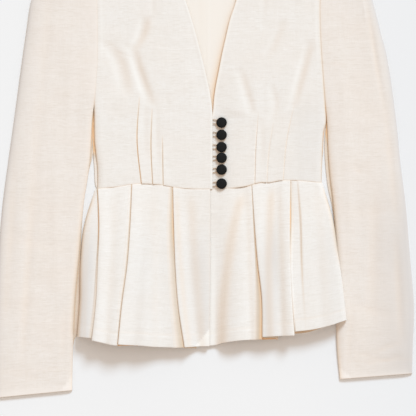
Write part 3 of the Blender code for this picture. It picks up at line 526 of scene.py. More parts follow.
# Inverted strip beside the last pleat: where it ends and how far it lies below
STRIP_LINE = ladder(121.5, 125.5, 127.0, 129.0, 133.0)
STRIP_DROP = ladder(0.6, 2.2, 2.2, 1.0, 0.1)
STRIP_STEP = 2.4
STRIP_SHADE_WIDTH = 1.1
STRIP_SHADE = ladder(0.1, 0.45, 0.5, 0.15, 0.0)

# Hem of each panel, side by side: (x, y)
HEMS_RIGHT = (
    curve((-191, -209.5), (-172, -211)),
    curve((-171, -214), (-157, -217.4), (-141, -221), (-133.5, -221.6)),
    curve((-132.5, -219.9), (-113, -221.2), (-98, -222), (-81, -223.7), (-60, -224.5), (-50, -225.4)),
    curve((-38, -224.4), (-22.5, -223.6), (-4, -223)),
)
HEMS_LEFT = (
    curve((-20, -222.5), (4, -221.8), (14, -218.7), (28, -216), (42, -214.4), (60, -213.6)),
    curve((72, -209.6), (90, -208.6), (116, -207.3)),
    curve((116.5, -202), (139, -199.5), (154, -196.6), (169, -192.7), (190.5, -185.6)),
)
BACK_HEM = curve(
    (-191, -208), (-100, -212), (0, -215), (90, -206), (116, -205.5), (135, -203.5), (150, -199),
    (165, -193), (190.5, -184.5))

WAIST_HEIGHTS_RIGHT = (2.3, 5.5, 5.5, 5.5)
LAP_HEIGHT_LEFT = curve((-20, 3.65), (0, 3.68), (8, 3.9), (22, 4.8), (40, 5.5), (60, 5.5))
HEM_HEIGHT_RIGHT = curve(
    (-191, 15), (-183, 18), (-172, 20), (-165, 22), (-145, 24), (-128, 23.5), (-110, 23),
    (-95, 22.5), (-84, 20.5), (-72, 15.5), (-62, 14), (-50, 14), (-38, 13), (-25, 10),
    (-12, 7.4), (-4, 6.4))
HEM_HEIGHT_LEFT = curve(
    (-20, 3.9), (-6, 4.2), (4, 5.2), (12, 8.5), (22, 14), (34, 17), (46, 16), (58, 14),
    (72, 18), (88, 20.5), (104, 19.5), (116, 18.5), (135, 19), (155, 19), (172, 17.5), (190, 15))

TROUGHS_RIGHT = (
    Trough(line=ladder(-87.0, -86.5, -86.0, -85.5, -85.0),
           width=7.0, waist_height=-0.7, hem_height=-1.8, shade=0.04),
    Trough(line=ladder(-36.0, -33.0, -29.0, -24.0, -20.0),
           width=8.0, waist_height=-0.3, hem_height=-1.6, shade=0.12),
    Trough(line=ladder(-54.0, -52.0, -48.0, -43.0, -36.0),
           width=5.0, waist_height=-0.1, hem_height=-0.3, shade=0.16),
    Trough(line=ladder(-143.0, -144.0, -146.0, -150.0, -152.0),
           width=6.0, waist_height=-0.5, hem_height=-1.2, shade=0.04),
    Trough(line=ladder(-174.0, -178.0, -181.0, -182.0, -184.0),
           width=4.0, waist_height=-0.3, hem_height=-0.6, shade=0.1),
)
TROUGHS_LEFT = (
    Trough(line=ladder(39.0, 24.0, 15.5, 9.0, 7.0),
           width=9.0, waist_height=-1.6, hem_height=-2.4, shade=0.25),
    Trough(line=ladder(80.0, 77.0, 75.0, 76.0, 77.0),
           width=7.0, waist_height=-1.0, hem_height=-2.0, shade=0.24),
    Trough(line=ladder(47.0, 48.5, 50.5, 52.5, 54.0),
           width=5.0, waist_height=-0.8, hem_height=-1.4, shade=0.08),
    Trough(line=ladder(92.0, 94.0, 96.0, 98.0, 99.0),
           width=4.5, waist_height=-0.6, hem_height=-1.2, shade=0.08),
    Trough(line=ladder(143.0, 146.0, 150.0, 154.0, 158.0),
           width=9.0, waist_height=-0.3, hem_height=-1.0, shade=0.04),
)

# Painted grey shade on the front peplum: line read by the way down, width and strength
DUSKS_RIGHT = (
    (ladder(-18.0, -18.0, -16.0, -12.0, -10.0), 15.0, 0.42),
    (ladder(-172.0, -174.0, -176.0, -178.0, -180.0), 9.0, 0.7),
    (ladder(-50.0, -48.0, -44.0, -38.0, -30.0), 9.0, 0.2),
    (ladder(-100.0, -98.0, -96.0, -92.0, -90.0), 26.0, 0.14),
)
DUSKS_LEFT = (
    (ladder(84.0, 84.0, 82.0, 81.0, 81.0), 12.0, 0.8),
    (ladder(160.0, 164.0, 168.0, 172.0, 176.0), 24.0, 0.24),
    (ladder(20.0, 20.0, 22.0, 24.0, 26.0), 14.0, 0.1),
)

SLEEVE_BESIDE_PEPLUM = ladder(167.0, 173.0, 176.5, 176.0, 175.4)
CLIMB = BODY_HEIGHT + FLAT + REST + 0.3
CLIMB_WIDTH = 14.0

CLOSURES = (
    Closure(button_y=94.2, loop_y=95.6),
    Closure(button_y=76.7, loop_y=77.8),
    Closure(button_y=59.4, loop_y=59.9),
    Closure(button_y=44.2, loop_y=43.7),
    Closure(button_y=27.5, loop_y=26.0),
    Closure(button_y=7.6, loop_y=6.6),
)

# Fine relief in millimetres, and painted warm shade, painted highlights and painted grey shade
# from 0 to 1. Calm widths are how far from an edge the unevenness of the cloth sets in
UNEVENNESS = (
    Waves(height=0.6, across=34.0, along=52.0),
    Waves(height=0.3, across=13.0, along=21.0),
    Waves(height=0.1, across=5.5, along=4.0),
)
WAIST_PUCKER = Waves(height=0.22, across=3.4, along=60.0)
WAIST_PUCKER_START = 3.0
WAIST_PUCKER_FADE = 9.0
SEAM_DIP_WIDTH = 1.0
WAIST_DIP_BODICE = -0.32
WAIST_DIP_PEPLUM = -0.3
WAIST_SHADE = 0.26
WAIST_SHADE_LEFT = Ridge(height=0.5, place=53.0, width=16.0)
SEAM_SHADE_WIDTH = 0.8
ARMHOLE_DIP = -0.5
ARMHOLE_RIDGE = Ridge(height=0.14, place=5.5, width=2.2)
# Painted highlight on the ridge beside the armhole
ARMHOLE_PALE = Ridge(height=0.3, place=5.5, width=2.0)
ARMHOLE_RIDGE_FOOT_Y = 160.0
ARMHOLE_RIDGE_FADE = 40.0

FRONT_EXTRA_ROWS = (0.0012, 0.003, 0.994, 0.997, 0.9988, 0.9997)
FRONT_COLUMNS_RIGHT = (34, 14, 14, 44)
FRONT_COLUMNS_LEFT = (44, 14, 18, 34)
FRONT_CALM_EDGE = 12.0
FRONT_CALM_WAIST = 14.0
FRONT_CALM_SIDE = 9.0
EDGE_ROLL = Ridge(height=0.18, place=1.8, width=1.4)
EDGE_GROOVE = Ridge(height=-0.1, place=6.5, width=0.8)
# Painted highlight on the roll of the front edge
EDGE_PALE = Ridge(height=0.6, place=1.6, width=1.5)
EDGE_SHADE_WIDTH = 0.9
EDGE_SHADE_RIGHT = 0.12
EDGE_SHADE_LEFT_TOP = 0.35
EDGE_SHADE_LEFT_FOOT = 0.6
LAP_SHADE_TOP_Y = 150.0
LAP_SHADE_FADE = 60.0
# Small cross ripples beside each tuck, and their place as a share of its height
CRIMP = Waves(height=0.13, across=13.0, along=2.8)
CRIMP_OFFSET = 6.0
CRIMP_WIDTH = 9.0
CRIMP_PLACE = 0.72
CRIMP_LENGTH = 26.0
FOLD_SHADE_SHARE = 0.6
# Painted grey shade at the wearer's left of the waist
SIDE_DUSK = 0.22
SIDE_DUSK_X = 95.0
SIDE_DUSK_WIDTH = 40.0
SIDE_DUSK_FADE = 50.0
# Shadow of a button on the cloth: how far it falls to -X and -Y, and how far past its rim
BUTTON_SHADE = 0.6
BUTTON_SHADE_X = 0.9
BUTTON_SHADE_Y = 1.3
BUTTON_SHADE_REACH = 1.4
BUTTON_SHADE_SOFTNESS = 2.0

SLEEVE_LENGTH = 640.0
# How fast a sleeve's edge leaves the seam below the underarm
SEAM_HOLD = 0.9
SLEEVE_EXTRA_ROWS = (0.0015, 0.9985)
SLEEVE_COLUMNS = 84
UNDER_SLEEVE_COLUMNS = 40
UNDER_SLEEVE_ROWS = 90
SLEEVE_UNEVENNESS = 1.2
SLEEVE_CALM_CUFF = 14.0
SLEEVE_CALM_TOP_SHARE = 0.04
SLEEVE_CALM_INNER = 12.0
OUTER_ROLL_SHARE = 1.6
OUTER_ROLL_POWER = 1.2
SLEEVE_DIP_WIDTH = 1.2
SLEEVE_HEM_LINE = Ridge(height=-0.2, place=24.5, width=0.9)
SLEEVE_HEM_SHADE = Ridge(height=0.1, place=24.5, width=1.1)
CUFF_ROLL = -0.3
CUFF_ROLL_WIDTH = 0.9
# Painted highlight along the cuff's rounded edge
CUFF_PALE = Ridge(height=0.8, place=2.0, width=2.5)
# Sewn corner of the cuff's hem, where the ways from cuff and inner edge add up to its depth
CUFF_CORNER_DEPTH = 18.0
CUFF_CORNER_LINE = Ridge(height=-0.25, place=0.0, width=0.9)
# Painted highlight on the sewn corner
CUFF_CORNER_PALE = 0.7
CUFF_CORNER_SOFTNESS = 1.5
SLEEVE_SHADE_FOOT_Y = -60.0
SLEEVE_SHADE_FADE = 60.0
SLEEVE_GAP_WIDTH = 2.2
# Painted highlight beside the upper right armhole
RIGHT_ARMHOLE_PALE = 0.45
RIGHT_ARMHOLE_PALE_WIDTH = 9.0
# Painted grey shade along the outer edge of a sleeve, narrow and wide, and over the lower left sleeve
OUTER_DUSK_NARROW = 0.72
OUTER_DUSK_NARROW_WIDTH = 2.8
OUTER_DUSK_WIDE = 0.44
OUTER_DUSK_WIDE_WIDTH = 13.0
LOWER_DUSK = 0.46
LOWER_DUSK_OUTER = 0.2
LOWER_DUSK_OUTER_WIDTH = 26.0
LOWER_DUSK_TOP_Y = 60.0
LOWER_DUSK_FADE = 160.0
LOWER_DUSK_WIDTH = 95.0
LOWER_DUSK_SOFTNESS = 80.0
# Less painted grey shade close to the cuff
CUFF_DUSK_LOSS = 0.8
CUFF_DUSK_WIDTH = 4.0
# Warm shade of the under sleeves: low and high in the side gaps, and beside the upper ones
UNDER_SLEEVE_SHADE = (0.36, 0.95)
UNDER_SHADE_FOOT_Y = 60.0
UNDER_SHADE_FADE = 30.0
UNDER_EDGE_SHADE = 0.45
UNDER_EDGE_WIDTH = 1.6
UNDER_SEAM_SHADE = 0.4
UNDER_FACE_SHADE = 0.12
UNDER_SLEEVE_SEAM = 42.0
UNDER_SEAM_DEPTH = 0.28
UNDER_SEAM_WIDTH = 0.9

# Back: its neck as a share of its width, a centre seam and two darts in its under face
NECK_START_SHARE = 0.305
NECK_END_SHARE = 0.7
NECK_COLUMNS = 25
BACK_COLUMNS = 36
BACK_SEAM = Ridge(height=0.3, place=-4.0, width=0.9)
BACK_DARTS_X = (-86.0, 78.0)
BACK_DART_LEAN = 0.0009
BACK_DART_DEPTH = 0.28
BACK_DART_TOP_Y = 170.0
BACK_DART_FADE = 20.0
BACK_SHADE_LOW = (0.15, 0.95)
BACK_SHADE_LOW_Y = 38.0
BACK_SHADE_LOW_FADE = 16.0
BACK_SHADE_HIGH = (0.12, 1.0)
BACK_SHADE_HIGH_Y = 240.0
BACK_SHADE_HIGH_FADE = 60.0
GROOVE_SHADE = 1.4
BACK_NECK_POWER = 0.7
LINING_ROWS = 110
LINING_COLUMNS = 60
LINING_BROAD = Waves(height=0.12, across=11.0, along=240.0)
LINING_FINE = Waves(height=0.05, across=4.0, along=160.0)
# Warm shadow of the left front on the lining, at the top and at the foot of the V
LINING_SHADOW = (0.3, 0.95)
LINING_SHADOW_WIDTH = (2.6, 5.0)
LINING_SHADOW_TOP_Y = 330.0
LINING_SHADOW_FADE = 230.0
LINING_RIGHT_SHADE = 0.1
LINING_RIGHT_WIDTH = 1.6
LINING_PLEAT_TOP = Ridge(height=0.12, place=-6.0, width=1.6)
LINING_PLEAT_FOOT = Ridge(height=-0.12, place=-9.0, width=1.2)

# Back peplum: X of its seams at the waist, and how far they spread toward the hem
BACK_PEPLUM_SEAMS_X = (-112.0, -60.0, -4.0, 54.0, 106.0)
BACK_PEPLUM_SPREAD = 0.16
BACK_PEPLUM_LENGTH = 215.0
BACK_PEPLUM_SHADE = 0.8
BACK_PEPLUM_ROWS = 70
BACK_PEPLUM_COLUMNS = 60
BACK_PEPLUM_CLIMB_COLUMNS = 32

PEPLUM_LENGTH = 222.0
PEPLUM_EXTRA_ROWS = (0.0005, 0.002, 0.005, 0.01, 0.995, 0.998)
PEPLUM_UNEVENNESS = 0.8
PEPLUM_CALM_WAIST = 20.0
PEPLUM_CALM_SIDES = 10.0
GATHERS = Waves(height=0.3, across=4.2, along=90.0)
GATHERS_START = 4.0
GATHERS_FADE = 26.0
DRAPE = Waves(height=0.35, across=9.0, along=150.0)
HEM_LINE = Ridge(height=-0.3, place=HEM_DEPTH, width=0.9)
HEM_SHADE = Ridge(height=0.1, place=HEM_DEPTH, width=1.2)
# How much the turned-up hem thickens the cloth below its stitches
HEM_SWELL = 0.16
HEM_SWELL_SOFTNESS = 1.5
HEM_EDGE = -0.25
PEPLUM_EDGE_SHADE = 0.16
PEPLUM_SIDE_SHADE_WIDTH = 1.8
# Warm shade of the peplum's sides, at the waist and at the hem
SIDE_SHADE_RIGHT = (0.95, 0.75)
SIDE_SHADE_LEFT = (0.7, 0.04)
SIDE_SHADE_LEFT_START = 0.4
SIDE_SHADE_LEFT_FADE = 0.25
PEPLUM_INNER_SHADE = 0.7
# Turned corner of the hem at the centre front: a point of its slanted fold and its slope
MITRE_X = -22.3
MITRE_Y = -221.5
MITRE_SLOPE = 21.7 / 16.9
MITRE_SOFTNESS = 1.2
MITRE_TOP_Y = -198.5
MITRE_TOP_SOFTNESS = 1.5
MITRE_SWELL = 0.5
# Painted highlight on the turned corner
MITRE_PALE = 0.8
MITRE_LINE = Ridge(height=-0.3, place=0.0, width=1.0)
MITRE_LINE_TOP_Y = -196.0
MITRE_LINE_FADE = 4.0
# Painted highlight on a fold line near the centre front of the left peplum
LAP_PALE = Ridge(height=0.8, place=1.5, width=2.6)
LAP_PALE_START = 0.2
LAP_PALE_FADE = 0.3
# Painted grey shade over the front peplum, growing from below the waist
PEPLUM_DUSK = 0.06
PEPLUM_DUSK_START = 0.12
PEPLUM_DUSK_FADE = 0.4


class JacketCloth(bpy.types.PropertyGroup):
    """Cloth, weave and wrinkles"""

    slub_length: bpy.props.FloatProperty(
        name="Slub Length", description="Usual length of a thick place in a weft yarn",
        default=0.026, min=0.005, max=0.1, subtype="DISTANCE", unit="LENGTH")
    slub_contrast: bpy.props.FloatProperty(
        name="Slub Contrast", description="How far thick and thin places stand out",
        default=0.85, min=0.0, max=1.0, subtype="FACTOR")
    yarn_pitch: bpy.props.FloatProperty(
        name="Yarn Pitch", description="Distance from one weft yarn to the next",
        default=0.0007, min=0.0003, max=0.003, subtype="DISTANCE", unit="LENGTH")
    weave_depth: bpy.props.FloatProperty(
        name="Weave Depth", description="Height of the yarns in the surface",
        default=0.00022, min=0.0, max=0.001, subtype="DISTANCE", unit="LENGTH")
    wrinkle_height: bpy.props.FloatProperty(
        name="Wrinkle Height", description="Height of the soft unevenness of the cloth",
        default=0.00045, min=0.0, max=0.002, subtype="DISTANCE", unit="LENGTH")


class JacketColours(bpy.types.PropertyGroup):
    """Colours of the cloth, closure and floor"""

    body: bpy.props.FloatVectorProperty(
        name="Bodice and Peplum", description="Ivory linen over a lining",
        default=(0.938, 0.908, 0.87), min=0.0, max=1.0, size=3, subtype="COLOR")
    sleeve: bpy.props.FloatVectorProperty(
        name="Sleeves", description="The same linen in a single layer, slightly pinker",
        default=(0.922, 0.864, 0.81), min=0.0, max=1.0, size=3, subtype="COLOR")
    lining: bpy.props.FloatVectorProperty(
        name="Lining", description="Smooth cream lining of the back",
        default=(0.965, 0.91, 0.84), min=0.0, max=1.0, size=3, subtype="COLOR")
    # Colour painted into creases, seams and gaps as their warm shade and the light the cloth lets through
    # there
    crease: bpy.props.FloatVectorProperty(
        name="Crease", description="Warm light that the cloth lets through in a crease",
        default=(0.95, 0.63, 0.36), min=0.0, max=1.0, size=3, subtype="COLOR")
    button: bpy.props.FloatVectorProperty(
        name="Buttons", description="Black cloth over the buttons",
        default=(0.0078, 0.0078, 0.0075), min=0.0, max=1.0, size=3, subtype="COLOR")
    # The ivory cord is painted a darker tan, as the shade on and under its thin loops
    cord: bpy.props.FloatVectorProperty(
        name="Loops", description="Ivory cord of the button loops",
        default=(0.66, 0.48, 0.32), min=0.0, max=1.0, size=3, subtype="COLOR")
    floor: bpy.props.FloatVectorProperty(
        name="Floor", description="Pale floor under the jacket",
        default=(0.93, 0.93, 0.93), min=0.0, max=1.0, size=3, subtype="COLOR")


class JacketStudio(bpy.types.PropertyGroup):
    """Camera and light"""

    camera_height: bpy.props.FloatProperty(
        name="Camera Height", description="Height of the camera above the floor",
        default=5.0, min=1.0, max=20.0, subtype="DISTANCE", unit="LENGTH")
    light_elevation: bpy.props.FloatProperty(
        name="Light Elevation", description="Angle of the main light above the floor",
        default=math.radians(34), min=0.1, max=1.5, subtype="ANGLE", unit="ROTATION")
    light_turn: bpy.props.FloatProperty(
        name="Light Turn", description="How far the main light stands to the right of the neck",
        default=math.radians(22), min=-3.0, max=3.0, subtype="ANGLE", unit="ROTATION")
    light_width: bpy.props.FloatProperty(
        name="Light Width", description="Angle that the main light fills, which softens shadows",
        default=math.radians(18), min=0.0, max=1.5, subtype="ANGLE", unit="ROTATION")
    light_strength: bpy.props.FloatProperty(
        name="Light Strength", description="Strength of the main light",
        default=2.0, min=0.0, max=20.0)
    light_colour: bpy.props.FloatVectorProperty(
        name="Light Colour", description="Colour of the main light, a little cool",
        default=(0.781, 1.0, 1.188), min=0.0, max=2.0, size=3, subtype="COLOR")
    fill_strength: bpy.props.FloatProperty(
        name="Fill Strength", description="Strength of the even light from all sides",
        default=0.69, min=0.0, max=5.0)
    fill_colour: bpy.props.FloatVectorProperty(
        name="Fill Colour", description="Colour of the even light, which warms the shadows",
        default=(1.0, 0.885, 0.79), min=0.0, max=2.0, size=3, subtype="COLOR")


def place(points):
    """Metres in the model's frame from jacket millimetres."""
    return (np.asarray(points) + (CENTRE_FRONT_X, WAIST_Y, 0.0)) * MM


def tinted(colour, shares):
    """Colour with a share of each of its three parts."""
    return tuple(min(1.0, value * share) for value, share in zip(colour, shares))


class Finish:
    """A new material and the nodes that lead to its shader."""

    def __init__(self, name):
        self.material = bpy.data.materials.new(name)
        self.material.use_nodes = True
        self.tree = self.material.node_tree
        self.shader = self.tree.nodes["Principled BSDF"]

    def add(self, kind, **settings):
        node = self.tree.nodes.new(kind)
        for key, value in settings.items():
            setattr(node, key, value)
        return node

    def feed(self, socket, value):
        """Give an input a socket, a number or a colour."""
        if isinstance(value, bpy.types.NodeSocket):
            self.tree.links.new(value, socket)
        elif isinstance(value, tuple):
            socket.default_value = (*value, 1.0)
        else:
            socket.default_value = value

    def mark(self, label):
        """Value that the mesh holds at each point under a name."""
        return self.add("ShaderNodeAttribute", attribute_name=label).outputs["Fac"]

    def thread_noise(self, along, across, detail, offset=0.0):
        """Noise stretched along the weft: cells of a length and a height in metres."""
        mapping = self.add("ShaderNodeMapping")
        mapping.inputs["Scale"].default_value = (1 / along, 1 / across, 1.0)
        mapping.inputs["Location"].default_value = (offset, offset * 1.7, offset * 0.3)
        thread = self.add("ShaderNodeAttribute", attribute_name="thread")
        self.feed(mapping.inputs["Vector"], thread.outputs["Vector"])
        noise = self.add("ShaderNodeTexNoise")
        noise.inputs["Scale"].default_value = 1.0
        noise.inputs["Detail"].default_value = detail
        noise.inputs["Roughness"].default_value = 0.55
        self.feed(noise.inputs["Vector"], mapping.outputs["Vector"])
        return noise.outputs["Fac"]

    def plain_noise(self, scale):
        """Noise in the object's own metres."""
        noise = self.add("ShaderNodeTexNoise")
        noise.inputs["Scale"].default_value = scale
        self.feed(noise.inputs["Vector"], self.add("ShaderNodeTexCoord").outputs["Object"])
        return noise.outputs["Fac"]

    def ramp(self, source, *stops):
        """Value ramp through (place, value) stops."""
        node = self.add("ShaderNodeValToRGB")
        elements = node.color_ramp.elements
        while len(elements) < len(stops):
            elements.new(0.5)
        for element, (at, value) in zip(elements, stops):
            element.position = at
            element.color = (value, value, value, 1.0)
        self.feed(node.inputs["Fac"], source)
        return node.outputs["Color"]

    def mask(self, along, across, detail, offset, low, high):
        """Uneven places of the cloth: 0 below a low level of a noise and 1 above a high one."""
        noise = self.thread_noise(along, across, detail, offset)
        return self.ramp(noise, (low, 0.0), (high, 1.0))

    def arithmetic(self, operation, a, b):
        node = self.add("ShaderNodeMath", operation=operation)
        self.feed(node.inputs[0], a)
        self.feed(node.inputs[1], b)
        return node.outputs["Value"]

    def crossed(self, weft, warp, weft_share):
        """Sum of two yarn systems, each with its share."""
        return self.arithmetic("ADD", self.arithmetic("MULTIPLY", weft, weft_share),
                               self.arithmetic("MULTIPLY", warp, 1 - weft_share))

    def blended(self, share, a, b):
        """Colour between two colours, each a socket or three numbers."""
        node = self.add("ShaderNodeMix", data_type="RGBA")
        self.feed(node.inputs["Factor"], share)
        self.feed(node.inputs[MIX_COLOUR_A], a)
        self.feed(node.inputs[MIX_COLOUR_B], b)
        return node.outputs[MIX_COLOUR_RESULT]

    def raised(self, height, strength, distance):
        """Raise the surface by a height socket; distance is in metres."""
        bump = self.add("ShaderNodeBump")
        bump.inputs["Strength"].default_value = strength
        bump.inputs["Distance"].default_value = distance
        self.feed(bump.inputs["Height"], height)
        self.feed(self.shader.inputs["Normal"], bump.outputs["Normal"])

    def done(self, tone, roughness, specular=0.5, sheen=0.0):
        """Set colour and surface, and return the material."""
        self.feed(self.shader.inputs["Base Color"], tone)
        self.shader.inputs["Roughness"].default_value = roughness
        self.shader.inputs["Specular IOR Level"].default_value = specular
        self.shader.inputs["Sheen Weight"].default_value = sheen
        return self.material


def linen(name, colour, crease, cloth):
    """Slubbed linen: uneven yarns both ways, thick weft places, painted warm shade in creases, painted
    highlights and painted grey shade.
    """
    made = Finish(name)
    light, dim = tinted(colour, THICK_YARN), tinted(colour, THIN_YARN)
    pitch, length = cloth.yarn_pitch, cloth.slub_length
    weft = made.thread_noise(length * 0.3, pitch, detail=2.0)
    warp = made.thread_noise(pitch * 1.2, length * 0.4, detail=1.0, offset=3.1)
    yarns = made.crossed(weft, warp, WEFT_SHARE)
    thick = made.mask(along=length * 0.8, across=pitch * 2.4, detail=2.0, offset=7.7, low=0.54, high=0.74)
    thin = made.mask(along=length * 0.45, across=pitch * 2.4, detail=2.0, offset=15.2, low=0.54, high=0.7)
    band = made.mask(along=length * 3, across=pitch * 6, detail=3.0, offset=33.3, low=0.42, high=0.66)
    upright = made.mask(along=pitch * 5, across=length * 2.5, detail=3.0, offset=41.9, low=0.46, high=0.7)
    patch = made.mask(along=0.07, across=0.05, detail=3.0, offset=21.0, low=0.4, high=0.66)
    marks = (
        (patch, 0.8, tinted(colour, ROSY_PATCH)), (upright, 0.3, dim), (band, 0.3, dim),
        (thick, cloth.slub_contrast, light), (thin, cloth.slub_contrast, dim))
    tone = colour
    for places, share, target in marks:
        tone = made.blended(made.arithmetic("MULTIPLY", places, share), tone, target)
    tone = made.blended(made.ramp(yarns, (0.3, 0.75), (0.6, 0.0)), tone, dim)
    # Painted highlights and painted grey shade; then the crease colour painted in as warm shade, darker for
    # middle strengths of its mark
    tone = made.blended(made.mark("painted_highlight"), tone, tinted(colour, HIGHLIGHT))
    tone = made.blended(made.mark("painted_grey_shade"), tone, tinted(colour, GREY_SHADE))
    fold = made.mark("fold")
    deep_shade_share = made.ramp(fold, (0.15, 0.0), (0.45, 1.0), (0.66, 1.0), (0.92, 0.1))
    tone = made.blended(fold, tone, made.blended(deep_shade_share, crease, tinted(crease, DEEP_SHADE)))
    height = made.arithmetic("ADD", yarns, made.arithmetic("MULTIPLY", thick, SLUB_RELIEF))
    made.raised(height, strength=0.45, distance=cloth.weave_depth)
    return made.done(tone, roughness=0.85, specular=0.25, sheen=0.12)


def smooth_lining(name, colour, crease):
    """Plain woven lining with a soft lustre, faint upright bands of painted shade and painted warm shade in
    creases.
    """
    made = Finish(name)
    bands = made.ramp(made.thread_noise(0.016, 0.5, detail=2.0), (0.35, 0.0), (0.65, 0.5))
    tone = made.blended(bands, colour, tinted(colour, LINING_BAND_SHADE))
    tone = made.blended(made.mark("fold"), tone, crease)
    grain = made.thread_noise(0.0004, 0.0004, detail=1.0, offset=4.0)
    made.raised(grain, strength=0.2, distance=0.0001)
    return made.done(tone, roughness=0.5, specular=0.4, sheen=0.15)


def button_cloth(name, colour):
    """Matt black cover with a fine plain weave and a little lint."""
    made = Finish(name)
    weft = made.thread_noise(0.0012, 0.0005, detail=1.0)
    warp = made.thread_noise(0.0005, 0.0012, detail=1.0, offset=5.0)
    yarns = made.crossed(weft, warp, 0.5)
    grey = tuple(value * 2.4 for value in colour)
    tone = made.blended(made.ramp(yarns, (0.42, 0.0), (0.7, 1.0)), colour, grey)
    made.raised(yarns, strength=0.5, distance=0.0002)
    return made.done(tone, roughness=0.85, specular=0.2)


def cord_thread(name, colour):
    """Twisted cotton thread with fine fibres."""
    made = Finish(name)
    fibres = made.plain_noise(2600.0)
    tone = made.blended(fibres, tuple(value * 0.88 for value in colour), colour)
    made.raised(fibres, strength=0.5, distance=0.0002)
    return made.done(tone, roughness=0.75)


def studio_floor(name, colour):
    """Pale floor, with painted shade that darkens it a little toward +X where the light falls off."""
    made = Finish(name)
    tone = made.blended(made.plain_noise(1.2), tuple(value * 0.985 for value in colour), colour)
    place_on_floor = made.add("ShaderNodeSeparateXYZ")
    made.feed(place_on_floor.inputs["Vector"], made.add("ShaderNodeTexCoord").outputs["Object"])
    # Painted shade of the light's falloff toward +X
    falloff_shade = made.ramp(place_on_floor.outputs["X"], (0.12, 0.0), (0.62, 1.0))
    tone = made.blended(falloff_shade, tone, tinted(colour, FLOOR_FALLOFF_SHADE))
    return made.done(tone, roughness=0.9, specular=0.0)


def finish_named(name):
    """Material of one finish, made when it is first asked for."""
    made = bpy.data.materials.get(name)
    if made:
        return made
    scene = bpy.context.scene
    colours, cloth = scene.jacket_colours, scene.jacket_cloth
    makers = {
        "ivory_linen": lambda: linen(name, tuple(colours.body), tuple(colours.crease), cloth),
        "sleeve_linen": lambda: linen(name, tuple(colours.sleeve), tuple(colours.crease), cloth),
        "cream_lining": lambda: smooth_lining(name, tuple(colours.lining), tuple(colours.crease)),
        "black_cover": lambda: button_cloth(name, tuple(colours.button)),
        "ivory_cord": lambda: cord_thread(name, tuple(colours.cord)),
        "pale_floor": lambda: studio_floor(name, tuple(colours.floor)),
    }
    return makers[name]()


def link_mesh(name, vertices, faces, finish):
    """New object of smooth faces with one finish, from places in jacket millimetres."""
    mesh = bpy.data.meshes.new(name)
    mesh.from_pydata(place(vertices).tolist(), [], faces)
    mesh.shade_smooth()
    mesh.materials.append(finish_named(finish))
    obj = bpy.data.objects.new(name, mesh)
    bpy.context.scene.collection.objects.link(obj)
    return obj


def stand_for(obj, node):
    """Let a piece ride on the body and stand for the solid of one node."""
    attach(obj, "root")
    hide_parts(node)


def grid_faces(rows, columns):
    """Faces of a closed wall of two grids of points, the outer one first."""
    index = np.arange(rows * columns).reshape(rows, columns)
    under = index + rows * columns
    a, b, c, d = index[:-1, :-1], index[1:, :-1], index[1:, 1:], index[:-1, 1:]
    faces = [np.stack((a, b, c, d), -1).reshape(-1, 4)]
    e, f, g, h = under[:-1, :-1], under[:-1, 1:], under[1:, 1:], under[1:, :-1]
    faces.append(np.stack((e, f, g, h), -1).reshape(-1, 4))
    faces.append(np.stack((index[0, :-1], index[0, 1:], under[0, 1:], under[0, :-1]), -1))
    faces.append(np.stack((index[-1, 1:], index[-1, :-1], under[-1, :-1], under[-1, 1:]), -1))
    faces.append(np.stack((index[1:, 0], index[:-1, 0], under[:-1, 0], under[1:, 0]), -1))
    faces.append(np.stack((index[:-1, -1], index[1:, -1], under[1:, -1], under[:-1, -1]), -1))
    return np.concatenate(faces)


def cloth_wall(name, x, y, z, finish, relief=0.0, skin=0.0, under=0.0, fold=0.0, painted_highlight=0.0,
               painted_grey_shade=0.0, inner_fold=0.1, thickness=CLOTH, grain=None):
    """Piece of cloth about a grid of places, rows from the neck down.

    relief lifts the whole cloth, skin its outer face and under its inner face.
    fold and the two marks after it, from 0 to 1, paint in warm shade of creases, seams and gaps,
    highlights, and grey shade. inner_fold paints warm shade on the inner face. grain
    is the way along the warp, in millimetres, where the weft does not run straight across.
    """
    middle = np.stack(np.broadcast_arrays(x, y, z), -1).astype(float)
    rows, columns = middle.shape[:2]
    down = np.gradient(middle, axis=0)
    across = np.gradient(middle, axis=1)
    normal = np.cross(down, across)
    normal /= np.linalg.norm(normal, axis=-1, keepdims=True)
    shape = (rows, columns)
    lift = np.zeros((rows, columns, 3))
    lift[..., 2] = np.broadcast_to(relief, shape)
    outer = middle + normal * thickness / 2 + lift
    outer[..., 2] += np.broadcast_to(skin, shape)
    inner = middle - normal * thickness / 2 + lift
    inner[..., 2] += np.broadcast_to(under, shape)
    vertices = np.concatenate((outer.reshape(-1, 3), inner.reshape(-1, 3)))
    obj = link_mesh(name + "_cloth", vertices, grid_faces(rows, columns).tolist(), finish)
    steps = np.linalg.norm(np.diff(middle, axis=1, prepend=middle[:, :1]), axis=-1)
    run_across = np.cumsum(steps, axis=1) + middle[:, :1, 0]
    run_down = middle[..., 1] if grain is None else np.broadcast_to(grain, shape)
    thread = np.stack((run_across, run_down, np.zeros(shape)), -1).reshape(-1, 3) * MM
    put_attribute(obj.data, "thread", "FLOAT_VECTOR", np.concatenate((thread, thread + INNER_WEAVE)))
    # Painted warm shade, painted highlights and painted grey shade, kept at each point for the material
    for label, faces in (("fold", (fold, inner_fold)), ("painted_highlight", (painted_highlight, 0.0)), ("painted_grey_shade", (painted_grey_shade, 0.0))):
        values = [np.clip(np.broadcast_to(face, shape), 0.0, 1.0).reshape(-1) for face in faces]
        put_attribute(obj.data, label, "FLOAT", np.concatenate(values))
    stand_for(obj, name)


def put_attribute(mesh, name, kind, values):
    attribute = mesh.attributes.new(name, kind, "POINT")
    attribute.data.foreach_set("vector" if kind == "FLOAT_VECTOR" else "value", np.ravel(values))


